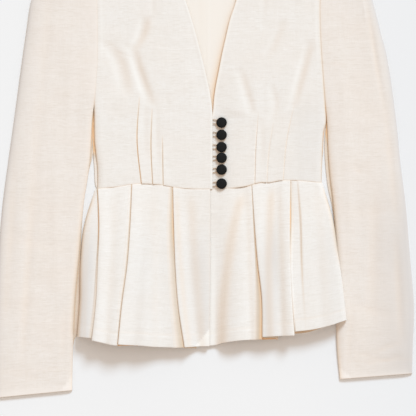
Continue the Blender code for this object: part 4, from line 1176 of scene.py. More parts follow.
def unevenness(x, y, cloth, seed):
    """Soft unevenness of cloth that lies flat, in millimetres."""
    height = cloth.wrinkle_height / MM
    return height * sum(waves(size, x, y, seed + i) for i, size in enumerate(UNEVENNESS))


def fold_relief(x, y):
    """Height, painted warm shade and painted highlight of the soft folds of the bodice."""
    height = np.zeros(np.broadcast(x, y).shape)
    shade = np.zeros_like(height)
    painted_highlight = np.zeros_like(height)
    for fold in SOFT_FOLDS:
        line = curve(fold.foot, fold.middle, fold.top)
        along = np.clip((y - fold.foot[0]) / (fold.top[0] - fold.foot[0]), 0.0, 1.0)
        strength = np.sin(math.pi * along) ** FOLD_TAPER
        off = (x - line(y)) / fold.width
        width = np.where(off > 0, FOLD_WIDTH_SHADED, FOLD_WIDTH_LIT)
        height += FOLD_HEIGHT_SHARE * fold.height * strength * bell(off, width)
        shade += FOLD_SHADE * fold.shade * strength * bell(off - FOLD_SHADE_OFFSET, FOLD_SHADE_WIDTH)
        painted_highlight += FOLD_PALE * fold.shade * strength * bell(off + FOLD_PALE_OFFSET, FOLD_PALE_WIDTH)
    return height, shade, painted_highlight


def tuck_line(tuck):
    half_way = (TUCK_FOOT_Y + tuck.top_y) / 2
    return curve((TUCK_FOOT_Y, tuck.waist_x), (half_way, tuck.middle_x), (tuck.top_y, tuck.top_x))


def tuck_relief(x, y, tucks):
    """Height, groove and warm shade of the tucks, each a step at its line that fades out at its top."""
    height = np.zeros(np.broadcast(x, y).shape)
    groove = np.zeros_like(height)
    shade = np.zeros_like(height)
    for tuck in tucks:
        distance = (x - tuck_line(tuck)(y)) * tuck.on_top
        fade = ease((tuck.top_y - y) / (TUCK_FADE_SHARE * tuck.top_y))
        slope = tuck.height * fading(np.maximum(distance, 0), TUCK_SLOPE)
        lifted = np.where(distance > 0, slope, 0.0)
        height += lifted * fade
        narrow = bell(distance + TUCK_GROOVE_OFFSET, TUCK_GROOVE_WIDTH)
        groove -= TUCK_GROOVE * fade ** TUCK_GROOVE_TAPER * narrow
        warm = bell(distance + TUCK_SHADE_OFFSET, TUCK_SHADE_WIDTH)
        shade = np.maximum(shade, tuck.shade * fade ** TUCK_SHADE_TAPER * warm)
    return height, groove, shade


def freed(underarm, y):
    """1 where the side of the bodice is apart from the sleeve, 0 above the underarm."""
    return ease((underarm + UNDERARM_RISE - y) / UNDERARM_FADE)


def front_height(x, y, edge, edge_height, lap):
    """Height of a front away from its rounded side and shoulder, without its tucks."""
    lapped = lap * ease((LAP_TOP_Y - y) / LAP_FADE)
    away = ease((np.abs(x - edge(y)) - lapped) / EDGE_SLOPE)
    return mix(edge_height(y), BODY_HEIGHT, away)


def step_share(line, top_y, left, right, shift):
    """Share of the width at which a column follows a line, upright above its top."""
    def share(y):
        y = np.minimum(y, top_y)
        return (line(y) + shift - left(y)) / (right(y) - left(y))

    return share


def front_columns(tucks, left, right, counts):
    """Columns across a front as shares of its width, crowded beside each tuck line."""
    stops = [lambda y: np.zeros(np.shape(y))]
    for tuck in tucks:
        for shift in (-TUCK_STEP / 2, TUCK_STEP / 2):
            stops.append(step_share(tuck_line(tuck), tuck.top_y, left, right, shift))
    stops.append(lambda y: np.ones(np.shape(y)))
    columns = []
    for index, count in enumerate(counts):
        start = stops[2 * index]
        end = stops[2 * index + 1]
        for t in crowded(count):
            columns.append(lambda y, start=start, end=end, t=t: mix(start(y), end(y), t))
    return columns


def build_front(name, side, edge, edge_height, lap, tucks, counts, underarm, outward, armhole_shade,
                cloth, seed):
    """One front. outward is -1 for the right front and 1 for the left."""
    def outline(y):
        return side(y) - outward * (SEAM / 2 + freed(underarm, y) * CLOTH / 2)

    left, right = (outline, edge) if outward < 0 else (edge, outline)
    xs, ys, tops, necks = [], [], [], []
    t = np.unique(np.concatenate((np.linspace(0, 1, FRONT_ROWS), FRONT_EXTRA_ROWS)))
    for share in front_columns(tucks, left, right, counts):
        at_top = share(SHOULDER_TIP_Y)
        to_neck = at_top if outward < 0 else 1 - at_top
        top_y = mix(SHOULDER_TIP_Y, SHOULDER_NECK_Y, to_neck)
        waist_x = mix(left(TUCK_FOOT_Y), right(TUCK_FOOT_Y), share(TUCK_FOOT_Y))
        y = mix(top_y, WAIST(waist_x) + WAIST_SEAM / 2, t)
        xs.append(mix(left(y), right(y), share(y)))
        ys.append(y)
        tops.append(top_y)
        necks.append(to_neck)
    x, y = np.array(xs).T, np.array(ys).T
    top_y, to_neck = np.array(tops), np.array(necks)
    from_side = np.abs(x - outline(y))
    from_edge = np.abs(x - edge(y))
    from_top = top_y - y
    from_waist = y - WAIST(x)
    loose = freed(underarm, y)
    height, groove, shade = tuck_relief(x, y, tucks)
    soft, soft_shade, soft_highlight = fold_relief(x, y)
    flat = front_height(x, y, edge, edge_height, lap)
    relief = soft + height
    relief += (unevenness(x, y, cloth, seed) * ease(from_edge / FRONT_CALM_EDGE)
               * ease(from_waist / FRONT_CALM_WAIST) * ease(from_side / FRONT_CALM_SIDE))
    rise = roll(from_side, BODY_ROLL)
    z = mix(mix(flat, SEAM_EDGE, loose), flat, rise)
    z = mix(mix(SHOULDER_EDGE, NECK_EDGE, to_neck), z, roll(from_top, SHOULDER_ROLL))
    relief *= mix(1 - loose, 1.0, rise) * roll(from_top, SHOULDER_ROLL)

    pucker = (waves(WAIST_PUCKER, x, y, seed + 5) * fading(from_waist, WAIST_PUCKER_FADE)
              * ease(from_waist / WAIST_PUCKER_START))
    seam_dip = WAIST_DIP_BODICE * fading(from_waist, SEAM_DIP_WIDTH)
    armhole_dip = armhole_shade(y) * ARMHOLE_DIP * fading(from_side, SEAM_DIP_WIDTH) * (1 - loose)
    beside_armhole = ease((y - ARMHOLE_RIDGE_FOOT_Y) / ARMHOLE_RIDGE_FADE)
    armhole_ridge = ridge(ARMHOLE_RIDGE, from_side) * beside_armhole
    edge_roll = ridge(EDGE_ROLL, from_edge) + ridge(EDGE_GROOVE, from_edge)
    crimp = waves(CRIMP, x, y, seed + 6) * strongest(
        *[bell(x - tuck_line(tuck)(y) - CRIMP_OFFSET, CRIMP_WIDTH)
          * bell(y - CRIMP_PLACE * tuck.top_y, CRIMP_LENGTH) for tuck in tucks])
    skin = groove + pucker + seam_dip + armhole_dip + armhole_ridge + crimp + edge_roll

    # Painted warm shade along waist seam, tucks, armhole, folds, front edge and under each button; painted
    # grey shade on folds and at the side; painted highlights on edge, armhole ridge and folds
    waist_shade = (WAIST_SHADE + ridge(WAIST_SHADE_LEFT, x)) * fading(from_waist, SEAM_SHADE_WIDTH)
    side_shade = armhole_shade(y) * fading(from_side, SEAM_SHADE_WIDTH)
    fold = strongest(shade, waist_shade, side_shade) + FOLD_SHADE_SHARE * soft_shade
    edge_shade = EDGE_SHADE_RIGHT
    painted_grey_shade = soft_shade
    if outward > 0:
        lower = ease((LAP_SHADE_TOP_Y - y) / LAP_SHADE_FADE)
        edge_shade = mix(EDGE_SHADE_LEFT_TOP, EDGE_SHADE_LEFT_FOOT, lower)
        beside_waist = ease((x - SIDE_DUSK_X) / SIDE_DUSK_WIDTH)
        painted_grey_shade = painted_grey_shade + SIDE_DUSK * beside_waist * ease((LAP_SHADE_TOP_Y - y) / SIDE_DUSK_FADE)
    fold = np.maximum(fold, edge_shade * fading(from_edge, EDGE_SHADE_WIDTH))
    if outward > 0:
        for closure in CLOSURES:
            around = np.hypot(x - BUTTON_X + BUTTON_SHADE_X, y - closure.button_y + BUTTON_SHADE_Y)
            inside = BUTTON_DIAMETER / 2 + BUTTON_SHADE_REACH - around
            fold = np.maximum(fold, BUTTON_SHADE * ease(inside / BUTTON_SHADE_SOFTNESS))
    painted_highlight = ridge(EDGE_PALE, from_edge) + ridge(ARMHOLE_PALE, from_side) * beside_armhole + soft_highlight
    cloth_wall(name, x, y, z, "ivory_linen", relief=relief, skin=skin,
               fold=fold, painted_highlight=painted_highlight, painted_grey_shade=painted_grey_shade)


def build_fronts(cloth):
    build_front("front_right", SIDE_RIGHT, EDGE_RIGHT, EDGE_HEIGHT_RIGHT, 0.0, TUCKS_RIGHT,
                FRONT_COLUMNS_RIGHT, UNDERARM_RIGHT_Y, -1, ARMHOLE_SHADE_RIGHT, cloth, seed=11)
    build_front("front_left", SIDE_LEFT, EDGE_LEFT, EDGE_HEIGHT_LEFT, LAP_WIDTH, TUCKS_LEFT,
                FRONT_COLUMNS_LEFT, UNDERARM_LEFT_Y, 1, ARMHOLE_SHADE_LEFT, cloth, seed=23)


def reach(line, y, low, high):
    """Reach of a layer at Y, nothing outside the stretch from low to high."""
    return np.where((y > low) & (y < high), np.maximum(line(y), 0.0), 0.0)


def back_neck(share):
    """Height of the back neckline on the page, by the way across it."""
    return SHOULDER_NECK_Y - BACK_NECK_DROP * np.sin(math.pi * np.clip(share, 0, 1)) ** BACK_NECK_POWER


def build_back():
    """Bodice back on the floor, with a centre seam and two waist darts in its under face."""
    first, last = NECK_START_SHARE, NECK_END_SHARE
    at_neck = np.linspace(first, last, NECK_COLUMNS)
    share = np.unique(np.concatenate((crowded(BACK_COLUMNS), (first, last), at_neck)))[None, :]
    t = crowded(BACK_ROWS)[:, None]
    to_left = mix(SHOULDER_TIP_Y, SHOULDER_NECK_Y, share / first)
    to_right = mix(SHOULDER_NECK_Y, SHOULDER_TIP_Y, (share - last) / (1 - last))
    neck = back_neck((share - first) / (last - first))
    top = np.where(share < first, to_left, np.where(share > last, to_right, neck))
    foot = BACK_WAIST(mix(SIDE_RIGHT(0.0), SIDE_LEFT(0.0), share)) + SEAM / 2
    y = mix(top, foot, t)
    x = mix(SIDE_RIGHT(y) + SEAM / 2 - reach(BACK_REACH_RIGHT, y, BACK_REACH_FOOT_Y, REACH_TOP_RIGHT_Y),
            SIDE_LEFT(y) - SEAM / 2 + reach(BACK_REACH_LEFT, y, BACK_REACH_FOOT_Y, REACH_TOP_LEFT_Y), share)
    under = ridge(BACK_SEAM, x)
    for dart_x in BACK_DARTS_X:
        from_dart = x - dart_x * (1 - BACK_DART_LEAN * y)
        fade = ease((BACK_DART_TOP_Y - y) / BACK_DART_FADE)
        under = under + BACK_DART_DEPTH * bell(from_dart, UNDER_SEAM_WIDTH) * fade
    # Painted warm shade where the side gaps show it, more so above the waist and below the chest
    warm = (mix(*BACK_SHADE_LOW, ease((y - BACK_SHADE_LOW_Y) / BACK_SHADE_LOW_FADE))
            * mix(*BACK_SHADE_HIGH, ease((BACK_SHADE_HIGH_Y - y) / BACK_SHADE_HIGH_FADE)))
    cloth_wall("bodice_back", x, y, FLAT, "ivory_linen", under=under, fold=warm,
               inner_fold=under * GROOVE_SHADE)


def build_lining():
    """Lining of the back in the V, with a soft box pleat down its middle."""
    share = crowded(LINING_COLUMNS)[None, :]
    t = np.linspace(0, 1, LINING_ROWS)[:, None]
    y = mix(back_neck(share) - LINING_NECK_GAP, LINING_FOOT_Y, t)
    x = mix(EDGE_RIGHT(y) - LINING_MARGIN, EDGE_LEFT(y) + LINING_MARGIN, share)
    bands = waves(LINING_BROAD, x, y, seed=41) + waves(LINING_FINE, x, y, seed=42)
    pleat = ridge(LINING_PLEAT_TOP, x) + ridge(LINING_PLEAT_FOOT, x)
    from_left = np.maximum(EDGE_LEFT(y) - x, 0)
    from_right = np.maximum(x - EDGE_RIGHT(y), 0)
    deeper = ease((LINING_SHADOW_TOP_Y - y) / LINING_SHADOW_FADE)
    shadow = mix(*LINING_SHADOW, deeper) * fading(from_left, mix(*LINING_SHADOW_WIDTH, deeper))
    by_right = fading(from_right, LINING_RIGHT_WIDTH) * LINING_RIGHT_SHADE
    cloth_wall("back_lining", x, y, LINING_HEIGHT, "cream_lining", skin=bands + pleat,
               fold=np.maximum(shadow, by_right), thickness=LINING)


def sleeve_places(table, side, underarm, outward, share, t):
    """Places across a sleeve, its width at each row, and how far it is free of the bodice."""
    outer_x, outer_y, inner_x, inner_y = (
        ladder(*[row[i] for row in table])(t) for i in range(4))
    seam_x = side(inner_y) + outward * SEAM / 2
    held = outward * np.maximum(outward * inner_x, outward * seam_x)
    loose = freed(underarm, inner_y)
    inner_x = np.where(inner_y > 0, mix(seam_x, held, ease(loose * SEAM_HOLD)), inner_x)
    width = np.hypot(outer_x - inner_x, outer_y - inner_y)
    return outer_x, outer_y, inner_x, inner_y, loose, width


def build_sleeve(name, table, side, underarm, outward, armhole_shade, cloth, seed):
    """Upper and under half of one sleeve."""
    share = crowded(SLEEVE_COLUMNS)[None, :]
    t = np.unique(np.concatenate((np.linspace(0, 1, SLEEVE_ROWS), SLEEVE_EXTRA_ROWS)))[:, None]
    outer_x, outer_y, inner_x, inner_y, loose, width = sleeve_places(
        table, side, underarm, outward, share, t)
    inset = CLOTH / 2 / width
    edge = np.minimum(SLEEVE_ROLL, width / 3)
    s = mix(inset, 1 - inset * loose, share)
    x = mix(outer_x, inner_x, s)
    y = mix(outer_y, inner_y, s)
    from_cuff = (1 - t) * SLEEVE_LENGTH
    from_inner = (1 - share) * width
    from_outer = share * width
    corner = CUFF_CORNER_DEPTH - from_cuff - from_inner
    outer_rise = roll(from_outer, edge * OUTER_ROLL_SHARE) ** OUTER_ROLL_POWER
    rise = outer_rise * mix(1.0, roll(from_inner, edge), loose)
    z = mix(SEAM_EDGE, mix(CUFF_HEIGHT, BODY_HEIGHT, ease((1 - t) / CUFF_SHARE)), rise)
    z = mix(SHOULDER_EDGE, z, roll(t, SLEEVE_TOP_ROLL))
    calm = (rise * ease(from_cuff / SLEEVE_CALM_CUFF) * ease(t / SLEEVE_CALM_TOP_SHARE)
            * ease(from_inner / SLEEVE_CALM_INNER))
    relief = unevenness(x, y, cloth, seed) * calm * SLEEVE_UNEVENNESS
    soft_shade = np.zeros(x.shape)
    for wrinkle in SLEEVE_WRINKLES[name]:
        height, wall = wrinkle_relief(wrinkle, x, y)
        relief += height * calm
        soft_shade += wall * calm
    seam_dip = armhole_shade(y) * ARMHOLE_DIP * fading(from_inner, SLEEVE_DIP_WIDTH) * (1 - loose)
    hem_line = ridge(SLEEVE_HEM_LINE, from_cuff) + ridge(CUFF_CORNER_LINE, corner)
    cuff_roll = CUFF_ROLL * fading(from_cuff, CUFF_ROLL_WIDTH)
    # Painted warm shade along the armhole, free inner edge, hem line and wrinkles; painted highlights on
    # the cuff and beside the right armhole; painted grey shade along the outer edge and over the lower left
    # sleeve
    shade = (armhole_shade(y) * fading(from_inner, SEAM_SHADE_WIDTH)
             * ease((y - SLEEVE_SHADE_FOOT_Y) / SLEEVE_SHADE_FADE))
    gap_shade = SLEEVE_GAP_SHADE[name](y) * fading(from_inner, SLEEVE_GAP_WIDTH) * loose
    fold = strongest(shade, gap_shade, ridge(SLEEVE_HEM_SHADE, from_cuff)) + soft_shade
    painted_highlight = CUFF_CORNER_PALE * ease(corner / CUFF_CORNER_SOFTNESS) + ridge(CUFF_PALE, from_cuff)
    if outward < 0:
        beside_armhole = RIGHT_ARMHOLE_PALE * fading(from_inner, RIGHT_ARMHOLE_PALE_WIDTH)
        painted_highlight = painted_highlight + beside_armhole * (1 - ease(loose * 3))
    painted_grey_shade = (OUTER_DUSK_NARROW * fading(from_outer, OUTER_DUSK_NARROW_WIDTH)
            + OUTER_DUSK_WIDE * fading(from_outer, OUTER_DUSK_WIDE_WIDTH))
    if outward > 0:
        lower = LOWER_DUSK + LOWER_DUSK_OUTER * fading(from_outer, LOWER_DUSK_OUTER_WIDTH)
        painted_grey_shade = painted_grey_shade + (lower * ease((LOWER_DUSK_TOP_Y - y) / LOWER_DUSK_FADE)
                       * ease((LOWER_DUSK_WIDTH - from_outer) / LOWER_DUSK_SOFTNESS))
    painted_grey_shade = painted_grey_shade * (1 - CUFF_DUSK_LOSS * fading(from_cuff, CUFF_DUSK_WIDTH))
    order = slice(None) if outward < 0 else slice(None, None, -1)
    cloth_wall(f"sleeve_{name}_upper", x[:, order], y[:, order], z[:, order], "sleeve_linen",
               relief=relief[:, order], skin=(seam_dip + hem_line + cuff_roll)[:, order],
               fold=fold[:, order], painted_highlight=painted_highlight[:, order], painted_grey_shade=painted_grey_shade[:, order],
               grain=(outer_y + inner_y) / 2)

    share = crowded(UNDER_SLEEVE_COLUMNS)[None, :]
    t = np.linspace(0, 1, UNDER_SLEEVE_ROWS)[:, None]
    outer_x, outer_y, inner_x, inner_y, loose, width = sleeve_places(
        table, side, underarm, outward, share, t)
    reaching = SLEEVE_REACH_RIGHT if outward < 0 else SLEEVE_REACH_LEFT
    reached = reach(reaching, inner_y, SLEEVE_REACH_FOOT_Y, REACH_TOP_RIGHT_Y)
    inner_x = inner_x - outward * reached
    x = mix(outer_x, inner_x, share)
    y = mix(outer_y, inner_y, share) - UNDER_CUFF * ease((t - 1 + UNDER_CUFF_SHARE) / UNDER_CUFF_SHARE)
    seam = bell(share * width - UNDER_SLEEVE_SEAM, UNDER_SEAM_WIDTH)
    beside = np.abs(inner_x - x) - reached
    gap_shade = (mix(*UNDER_SLEEVE_SHADE, ease((y - UNDER_SHADE_FOOT_Y) / UNDER_SHADE_FADE))
                 + UNDER_EDGE_SHADE * bell(beside, UNDER_EDGE_WIDTH))
    gap_shade = gap_shade * ease((1 - t) * SLEEVE_LENGTH / SLEEVE_CALM_CUFF)
    cloth_wall(f"sleeve_{name}_under", x[:, order], y[:, order], FLAT, "sleeve_linen",
               under=UNDER_SEAM_DEPTH * seam[:, order], fold=gap_shade[:, order],
               inner_fold=UNDER_SEAM_SHADE * seam[:, order] + UNDER_FACE_SHADE)


def wrinkle_relief(wrinkle, x, y):
    """Height of a wrinkle, and warm shade of its wall that faces away from the light."""
    start_x, start_y = pixel_x(wrinkle.start[0]), pixel_y(wrinkle.start[1])
    dx = pixel_x(wrinkle.end[0]) - start_x
    dy = pixel_y(wrinkle.end[1]) - start_y
    length = math.hypot(dx, dy)
    along = ((x - start_x) * dx + (y - start_y) * dy) / length ** 2
    across = ((x - start_x) * dy - (y - start_y) * dx) / length
    inside = np.sin(math.pi * np.clip(along, 0.0, 1.0)) ** WRINKLE_TAPER
    wall = wrinkle.shade * inside * bell(across / wrinkle.width - WALL_OFFSET, WALL_WIDTH)
    return wrinkle.height * inside * bell(across, wrinkle.width), wall


def build_sleeves(cloth):
    build_sleeve("right", SLEEVE_RIGHT, SIDE_RIGHT, UNDERARM_RIGHT_Y, -1, ARMHOLE_SHADE_RIGHT,
                 cloth, seed=51)
    build_sleeve("left", SLEEVE_LEFT, SIDE_LEFT, UNDERARM_LEFT_Y, 1, ARMHOLE_SHADE_LEFT,
                 cloth, seed=67)


def climb(x, way):
    """How far the left side of the peplum has climbed over the sleeve."""
    near = SLEEVE_BESIDE_PEPLUM(way) - CLIMB_WIDTH + 1
    return CLIMB * ease((x - near) / CLIMB_WIDTH) * ease(way / CLIMB_SHARE)


def pleat_section(pleat, way, low_side, top):
    """Section through one pleat from left to right, as (x, z, shade, layer) by the way down.

    The panel on top ends in a round edge, runs back under itself, and comes out
    again below to slope up to the panel beside it. top reads its height by X.
    """
    line = pleat.line(way)
    slope = pleat.slope(way)
    gap = mix(pleat.gap_waist, pleat.gap_hem, way)
    depth = mix(pleat.depth_waist, pleat.depth_hem, way)
    turn = gap / 2
    side = pleat.on_top
    opened = mix(PLEAT_WAIST_STEP, 1.0, ease(way * PLEAT_OPENING))
    foot = top(line) - 2 * gap * pleat.step(way) * opened
    section = []
    for t in np.linspace(0.0, 1.0, SLOPE_COLUMNS):
        x = line - side * (FOLD_CLEARANCE + (1 - t) * slope)
        near_line = ease((t - SLOPE_SHADE_START) / (1 - SLOPE_SHADE_START)) ** pleat.spread
        shade = np.maximum(near_line, ridge(SLOPE_FOOT_SHADE, t))
        section.append((x, mix(low_side, foot, ease(t)), shade, OPEN_LAYER))

    def add(offset, below, shade, layer):
        x = line + side * offset
        section.append((x, top(x) - below, shade, layer))

    for t in LOWEST_LAYER_SHARES:
        add(mix(-FOLD_CLEARANCE, depth, t), 2 * gap, 1.0, HIDDEN_LAYER)
    for angle in np.linspace(0.0, math.pi, HIDDEN_TURN_COLUMNS):
        add(depth + turn * math.sin(angle), (1.5 + 0.5 * math.cos(angle)) * gap, 1.0, DEEPEST_LAYER)
    for t in MIDDLE_LAYER_SHARES:
        add(mix(turn, depth, t), gap, 1.0, HIDDEN_LAYER)
    for angle in np.linspace(0.0, math.pi, EDGE_TURN_COLUMNS):
        below = 0.5 + 0.5 * math.cos(angle)
        add(turn * (1 - math.sin(angle)), below * gap, below ** EDGE_SHADE_POWER, OPEN_LAYER)
    return section if side > 0 else section[::-1]


def panel_ends(pleat, way):
    """Where the panels on the left and on the right of a pleat end and begin."""
    turn = mix(pleat.gap_waist, pleat.gap_hem, way) / 2
    upper = pleat.line(way) + pleat.on_top * turn
    lower = pleat.line(way) - pleat.on_top * (FOLD_CLEARANCE + pleat.slope(way))
    return (lower, upper) if pleat.on_top > 0 else (upper, lower)


class FrontPeplum(namedtuple(
        "FrontPeplum", "left right pleats hems waist_height hem_height troughs outward")):
    """One half of the front peplum: panels side by side, with a pleat between each two."""

    def ends(self, panel, way):
        """First and last X of a panel at one level."""
        start = self.left(way) if panel == 0 else panel_ends(self.pleats[panel - 1], way)[1]
        last = panel == len(self.pleats)
        end = self.right(way) if last else panel_ends(self.pleats[panel], way)[0]
        return start, end

    def height(self, panel, way, x):
        """Height of a panel at one level."""
        start, end = self.ends(panel, way)
        share = (x - start) / (end - start)
        low = self.waist_height(panel, mix(*self.ends(panel, 0.0), share))
        high = self.hem_height(mix(*self.ends(panel, 1.0), share))
        z = mix(low, high, way ** HEM_RISE_POWER)
        for trough in self.troughs:
            height = mix(trough.waist_height, trough.hem_height, way)
            z = z + height * bell(x - trough.line(way), trough.width)
        for index, pleat in enumerate(self.pleats):
            if panel == index + (pleat.on_top > 0):
                off = (x - pleat.line(way)) * pleat.on_top
                z = z + CREST_HEIGHT(way) * (ridge(CREST, off) + ridge(CREST_DIP, off))
        if self.outward > 0 and panel == len(self.pleats):
            z = z - STRIP_DROP(way) * ease((STRIP_LINE(way) + STRIP_STEP / 2 - x) / STRIP_STEP)
        side = self.left(way) if self.outward < 0 else self.right(way)
        base = SEAM_EDGE + (climb(side + CLOTH, way) if self.outward > 0 else 0.0)
        if panel == (0 if self.outward < 0 else len(self.pleats)):
            z = mix(np.minimum(base, z), z, roll(np.abs(x - side), PEPLUM_ROLL))
        return z

    def shade(self, panel, way, x):
        """Warm shade on the walls of a panel that face away from the light."""
        total = np.zeros(np.shape(x))
        for trough in self.troughs:
            off = (x - trough.line(way)) / trough.width
            wall = trough.shade * bell(off - TROUGH_WALL_OFFSET, TROUGH_WALL_WIDTH)
            total = total + wall * ease(way * SHADE_ONSET)
        if self.outward > 0 and panel == len(self.pleats):
            total = total + STRIP_SHADE(way) * bell(x - STRIP_LINE(way), STRIP_SHADE_WIDTH)
        return total

    def y(self, way, waist_x, hem_y):
        return mix(WAIST(waist_x) - WAIST_SEAM / 2, hem_y, way)

    def panel_columns(self, panel, way, shares):
        for share in shares:
            x = mix(*self.ends(panel, way), share)
            waist_x = mix(*self.ends(panel, 0.0), share)
            hem_x = mix(*self.ends(panel, 1.0), share)
            y = self.y(way, waist_x, self.hems[panel](hem_x))
            yield x, y, self.height(panel, way, x), self.shade(panel, way, x), 0.0

    def pleat_columns(self, index, way):
        """Columns of a pleat, with its hem running from one panel's to the next one's."""
        pleat = self.pleats[index]
        low_panel, top_panel = (index, index + 1) if pleat.on_top > 0 else (index + 1, index)

        def section(level):
            low_x = panel_ends(pleat, level)[0 if pleat.on_top > 0 else 1]
            low_side = self.height(low_panel, level, low_x)
            return pleat_section(pleat, level, low_side, lambda x: self.height(top_panel, level, x))

        at_waist = section(0.0)
        first = self.hems[index](self.ends(index, 1.0)[1])
        last = self.hems[index + 1](self.ends(index + 1, 1.0)[0])
        here = section(way)
        for i, (x, z, shade, layer) in enumerate(here):
            hem_y = mix(first, last, ease(i / (len(here) - 1))) - HIDDEN_HEM * layer
            strength = mix(pleat.shade(way), 1.0, layer)
            yield x, self.y(way, at_waist[i][0], hem_y), z, shade * strength, layer

    def columns(self, shares, way):
        """All columns as arrays of x, y, z, shade and layer."""
        found = []
        for panel, panel_shares in enumerate(shares):
            found += self.panel_columns(panel, way, panel_shares)
            if panel < len(self.pleats):
                found += self.pleat_columns(panel, way)
        return [np.array([np.broadcast_to(column[i], way.shape) for column in found]).T for i in range(5)]


def build_front_peplum(name, half, shares, cloth, seed):
    """One half of the front peplum with its pleats, hem line, painted shade and painted highlights."""
    way = np.unique(np.concatenate((np.linspace(0, 1, PEPLUM_ROWS), PEPLUM_EXTRA_ROWS)))
    x, y, z, shade, layer = half.columns(shares, way)
    down = way[:, None]
    from_waist = down * PEPLUM_LENGTH
    from_hem = (1 - down) * PEPLUM_LENGTH
    open_cloth = 1 - ease(layer * 4)
    left, right = half.left(way)[:, None], half.right(way)[:, None]
    edge, side = (right, left) if half.outward < 0 else (left, right)
    from_edge = np.abs(x - edge)
    from_side = np.abs(x - side)
    calm = (ease(from_waist / PEPLUM_CALM_WAIST) * ease(from_edge / PEPLUM_CALM_SIDES)
            * ease(from_side / PEPLUM_CALM_SIDES))
    relief = unevenness(x, y, cloth, seed) * calm * PEPLUM_UNEVENNESS
    gathers = (waves(GATHERS, x, y, seed + 4) * fading(from_waist, GATHERS_FADE)
               * ease(from_waist / GATHERS_START))
    drape = waves(DRAPE, x, y, seed + 9) * calm
    seam_dip = WAIST_DIP_PEPLUM * fading(from_waist, SEAM_DIP_WIDTH)
    hem_line = ridge(HEM_LINE, from_hem) + HEM_SWELL * ease((HEM_DEPTH - from_hem) / HEM_SWELL_SOFTNESS)
    hem_edge = HEM_EDGE * fading(from_hem, SEAM_SHADE_WIDTH)
    skin = (gathers + drape) * open_cloth + seam_dip + (hem_line + hem_edge) * open_cloth
    # Painted warm shade along waist seam, edge, sides and hem; painted highlights on the turned corner and
    # the lap's fold line; painted grey shade below the waist
    waist_shade = (WAIST_SHADE + ridge(WAIST_SHADE_LEFT, x)) * fading(from_waist, SEAM_SHADE_WIDTH)
    edge_shade = PEPLUM_EDGE_SHADE * fading(from_edge, SEAM_SHADE_WIDTH)
    if half.outward < 0:
        side_level = mix(*SIDE_SHADE_RIGHT, down)
    else:
        side_level = mix(*SIDE_SHADE_LEFT, ease((down - SIDE_SHADE_LEFT_START) / SIDE_SHADE_LEFT_FADE))
    side_shade = side_level * ease(down * SHADE_ONSET) * fading(from_side, PEPLUM_SIDE_SHADE_WIDTH)
    hem_shade = ridge(HEM_SHADE, from_hem) * open_cloth
    mitre = 0.0
    if half.outward < 0:
        rising = (x - MITRE_X) * MITRE_SLOPE - (y - MITRE_Y)
        mitre = ease(rising / MITRE_SOFTNESS) * ease((MITRE_TOP_Y - y) / MITRE_TOP_SOFTNESS)
        fold_line = ridge(MITRE_LINE, rising) * ease((MITRE_LINE_TOP_Y - y) / MITRE_LINE_FADE)
        skin = skin + MITRE_SWELL * mitre + fold_line
        painted_highlight = MITRE_PALE * mitre
    else:
        painted_highlight = ridge(LAP_PALE, x) * ease((down - LAP_PALE_START) / LAP_PALE_FADE)
    fold = strongest(shade, waist_shade, edge_shade, side_shade, hem_shade)
    dusks = DUSKS_RIGHT if half.outward < 0 else DUSKS_LEFT
    painted_grey_shade = sum(strength * bell(x - line(down), width) for line, width, strength in dusks)
    painted_grey_shade = (painted_grey_shade + PEPLUM_DUSK) * ease((down - PEPLUM_DUSK_START) / PEPLUM_DUSK_FADE)
    painted_grey_shade = painted_grey_shade * open_cloth * (1 - mitre)
    cloth_wall(name, x, y, z, "ivory_linen", relief=relief, skin=skin, fold=fold,
               painted_highlight=painted_highlight, painted_grey_shade=painted_grey_shade, inner_fold=PEPLUM_INNER_SHADE, grain=-from_waist)


def build_front_peplums(cloth):
    right = FrontPeplum(
        PEPLUM_SIDE_RIGHT, PEPLUM_EDGE_RIGHT, PLEATS_RIGHT, HEMS_RIGHT,
        lambda panel, x: WAIST_HEIGHTS_RIGHT[panel], HEM_HEIGHT_RIGHT, TROUGHS_RIGHT, -1)
    left = FrontPeplum(
        PEPLUM_EDGE_LEFT, PEPLUM_SIDE_LEFT, PLEATS_LEFT, HEMS_LEFT,
        lambda panel, x: LAP_HEIGHT_LEFT(x) if panel == 0 else BODY_HEIGHT,
        HEM_HEIGHT_LEFT, TROUGHS_LEFT, 1)
    inner = slice(1, -1)
    right_shares = (crowded(15)[:-1], crowded(20)[inner], crowded(28)[inner], crowded(22)[1:])
    left_shares = (crowded(34)[:-1], crowded(22)[inner], crowded(46)[1:])
    build_front_peplum("peplum_front_right", right, right_shares, cloth, seed=81)
    build_front_peplum("peplum_front_left", left, left_shares, cloth, seed=97)


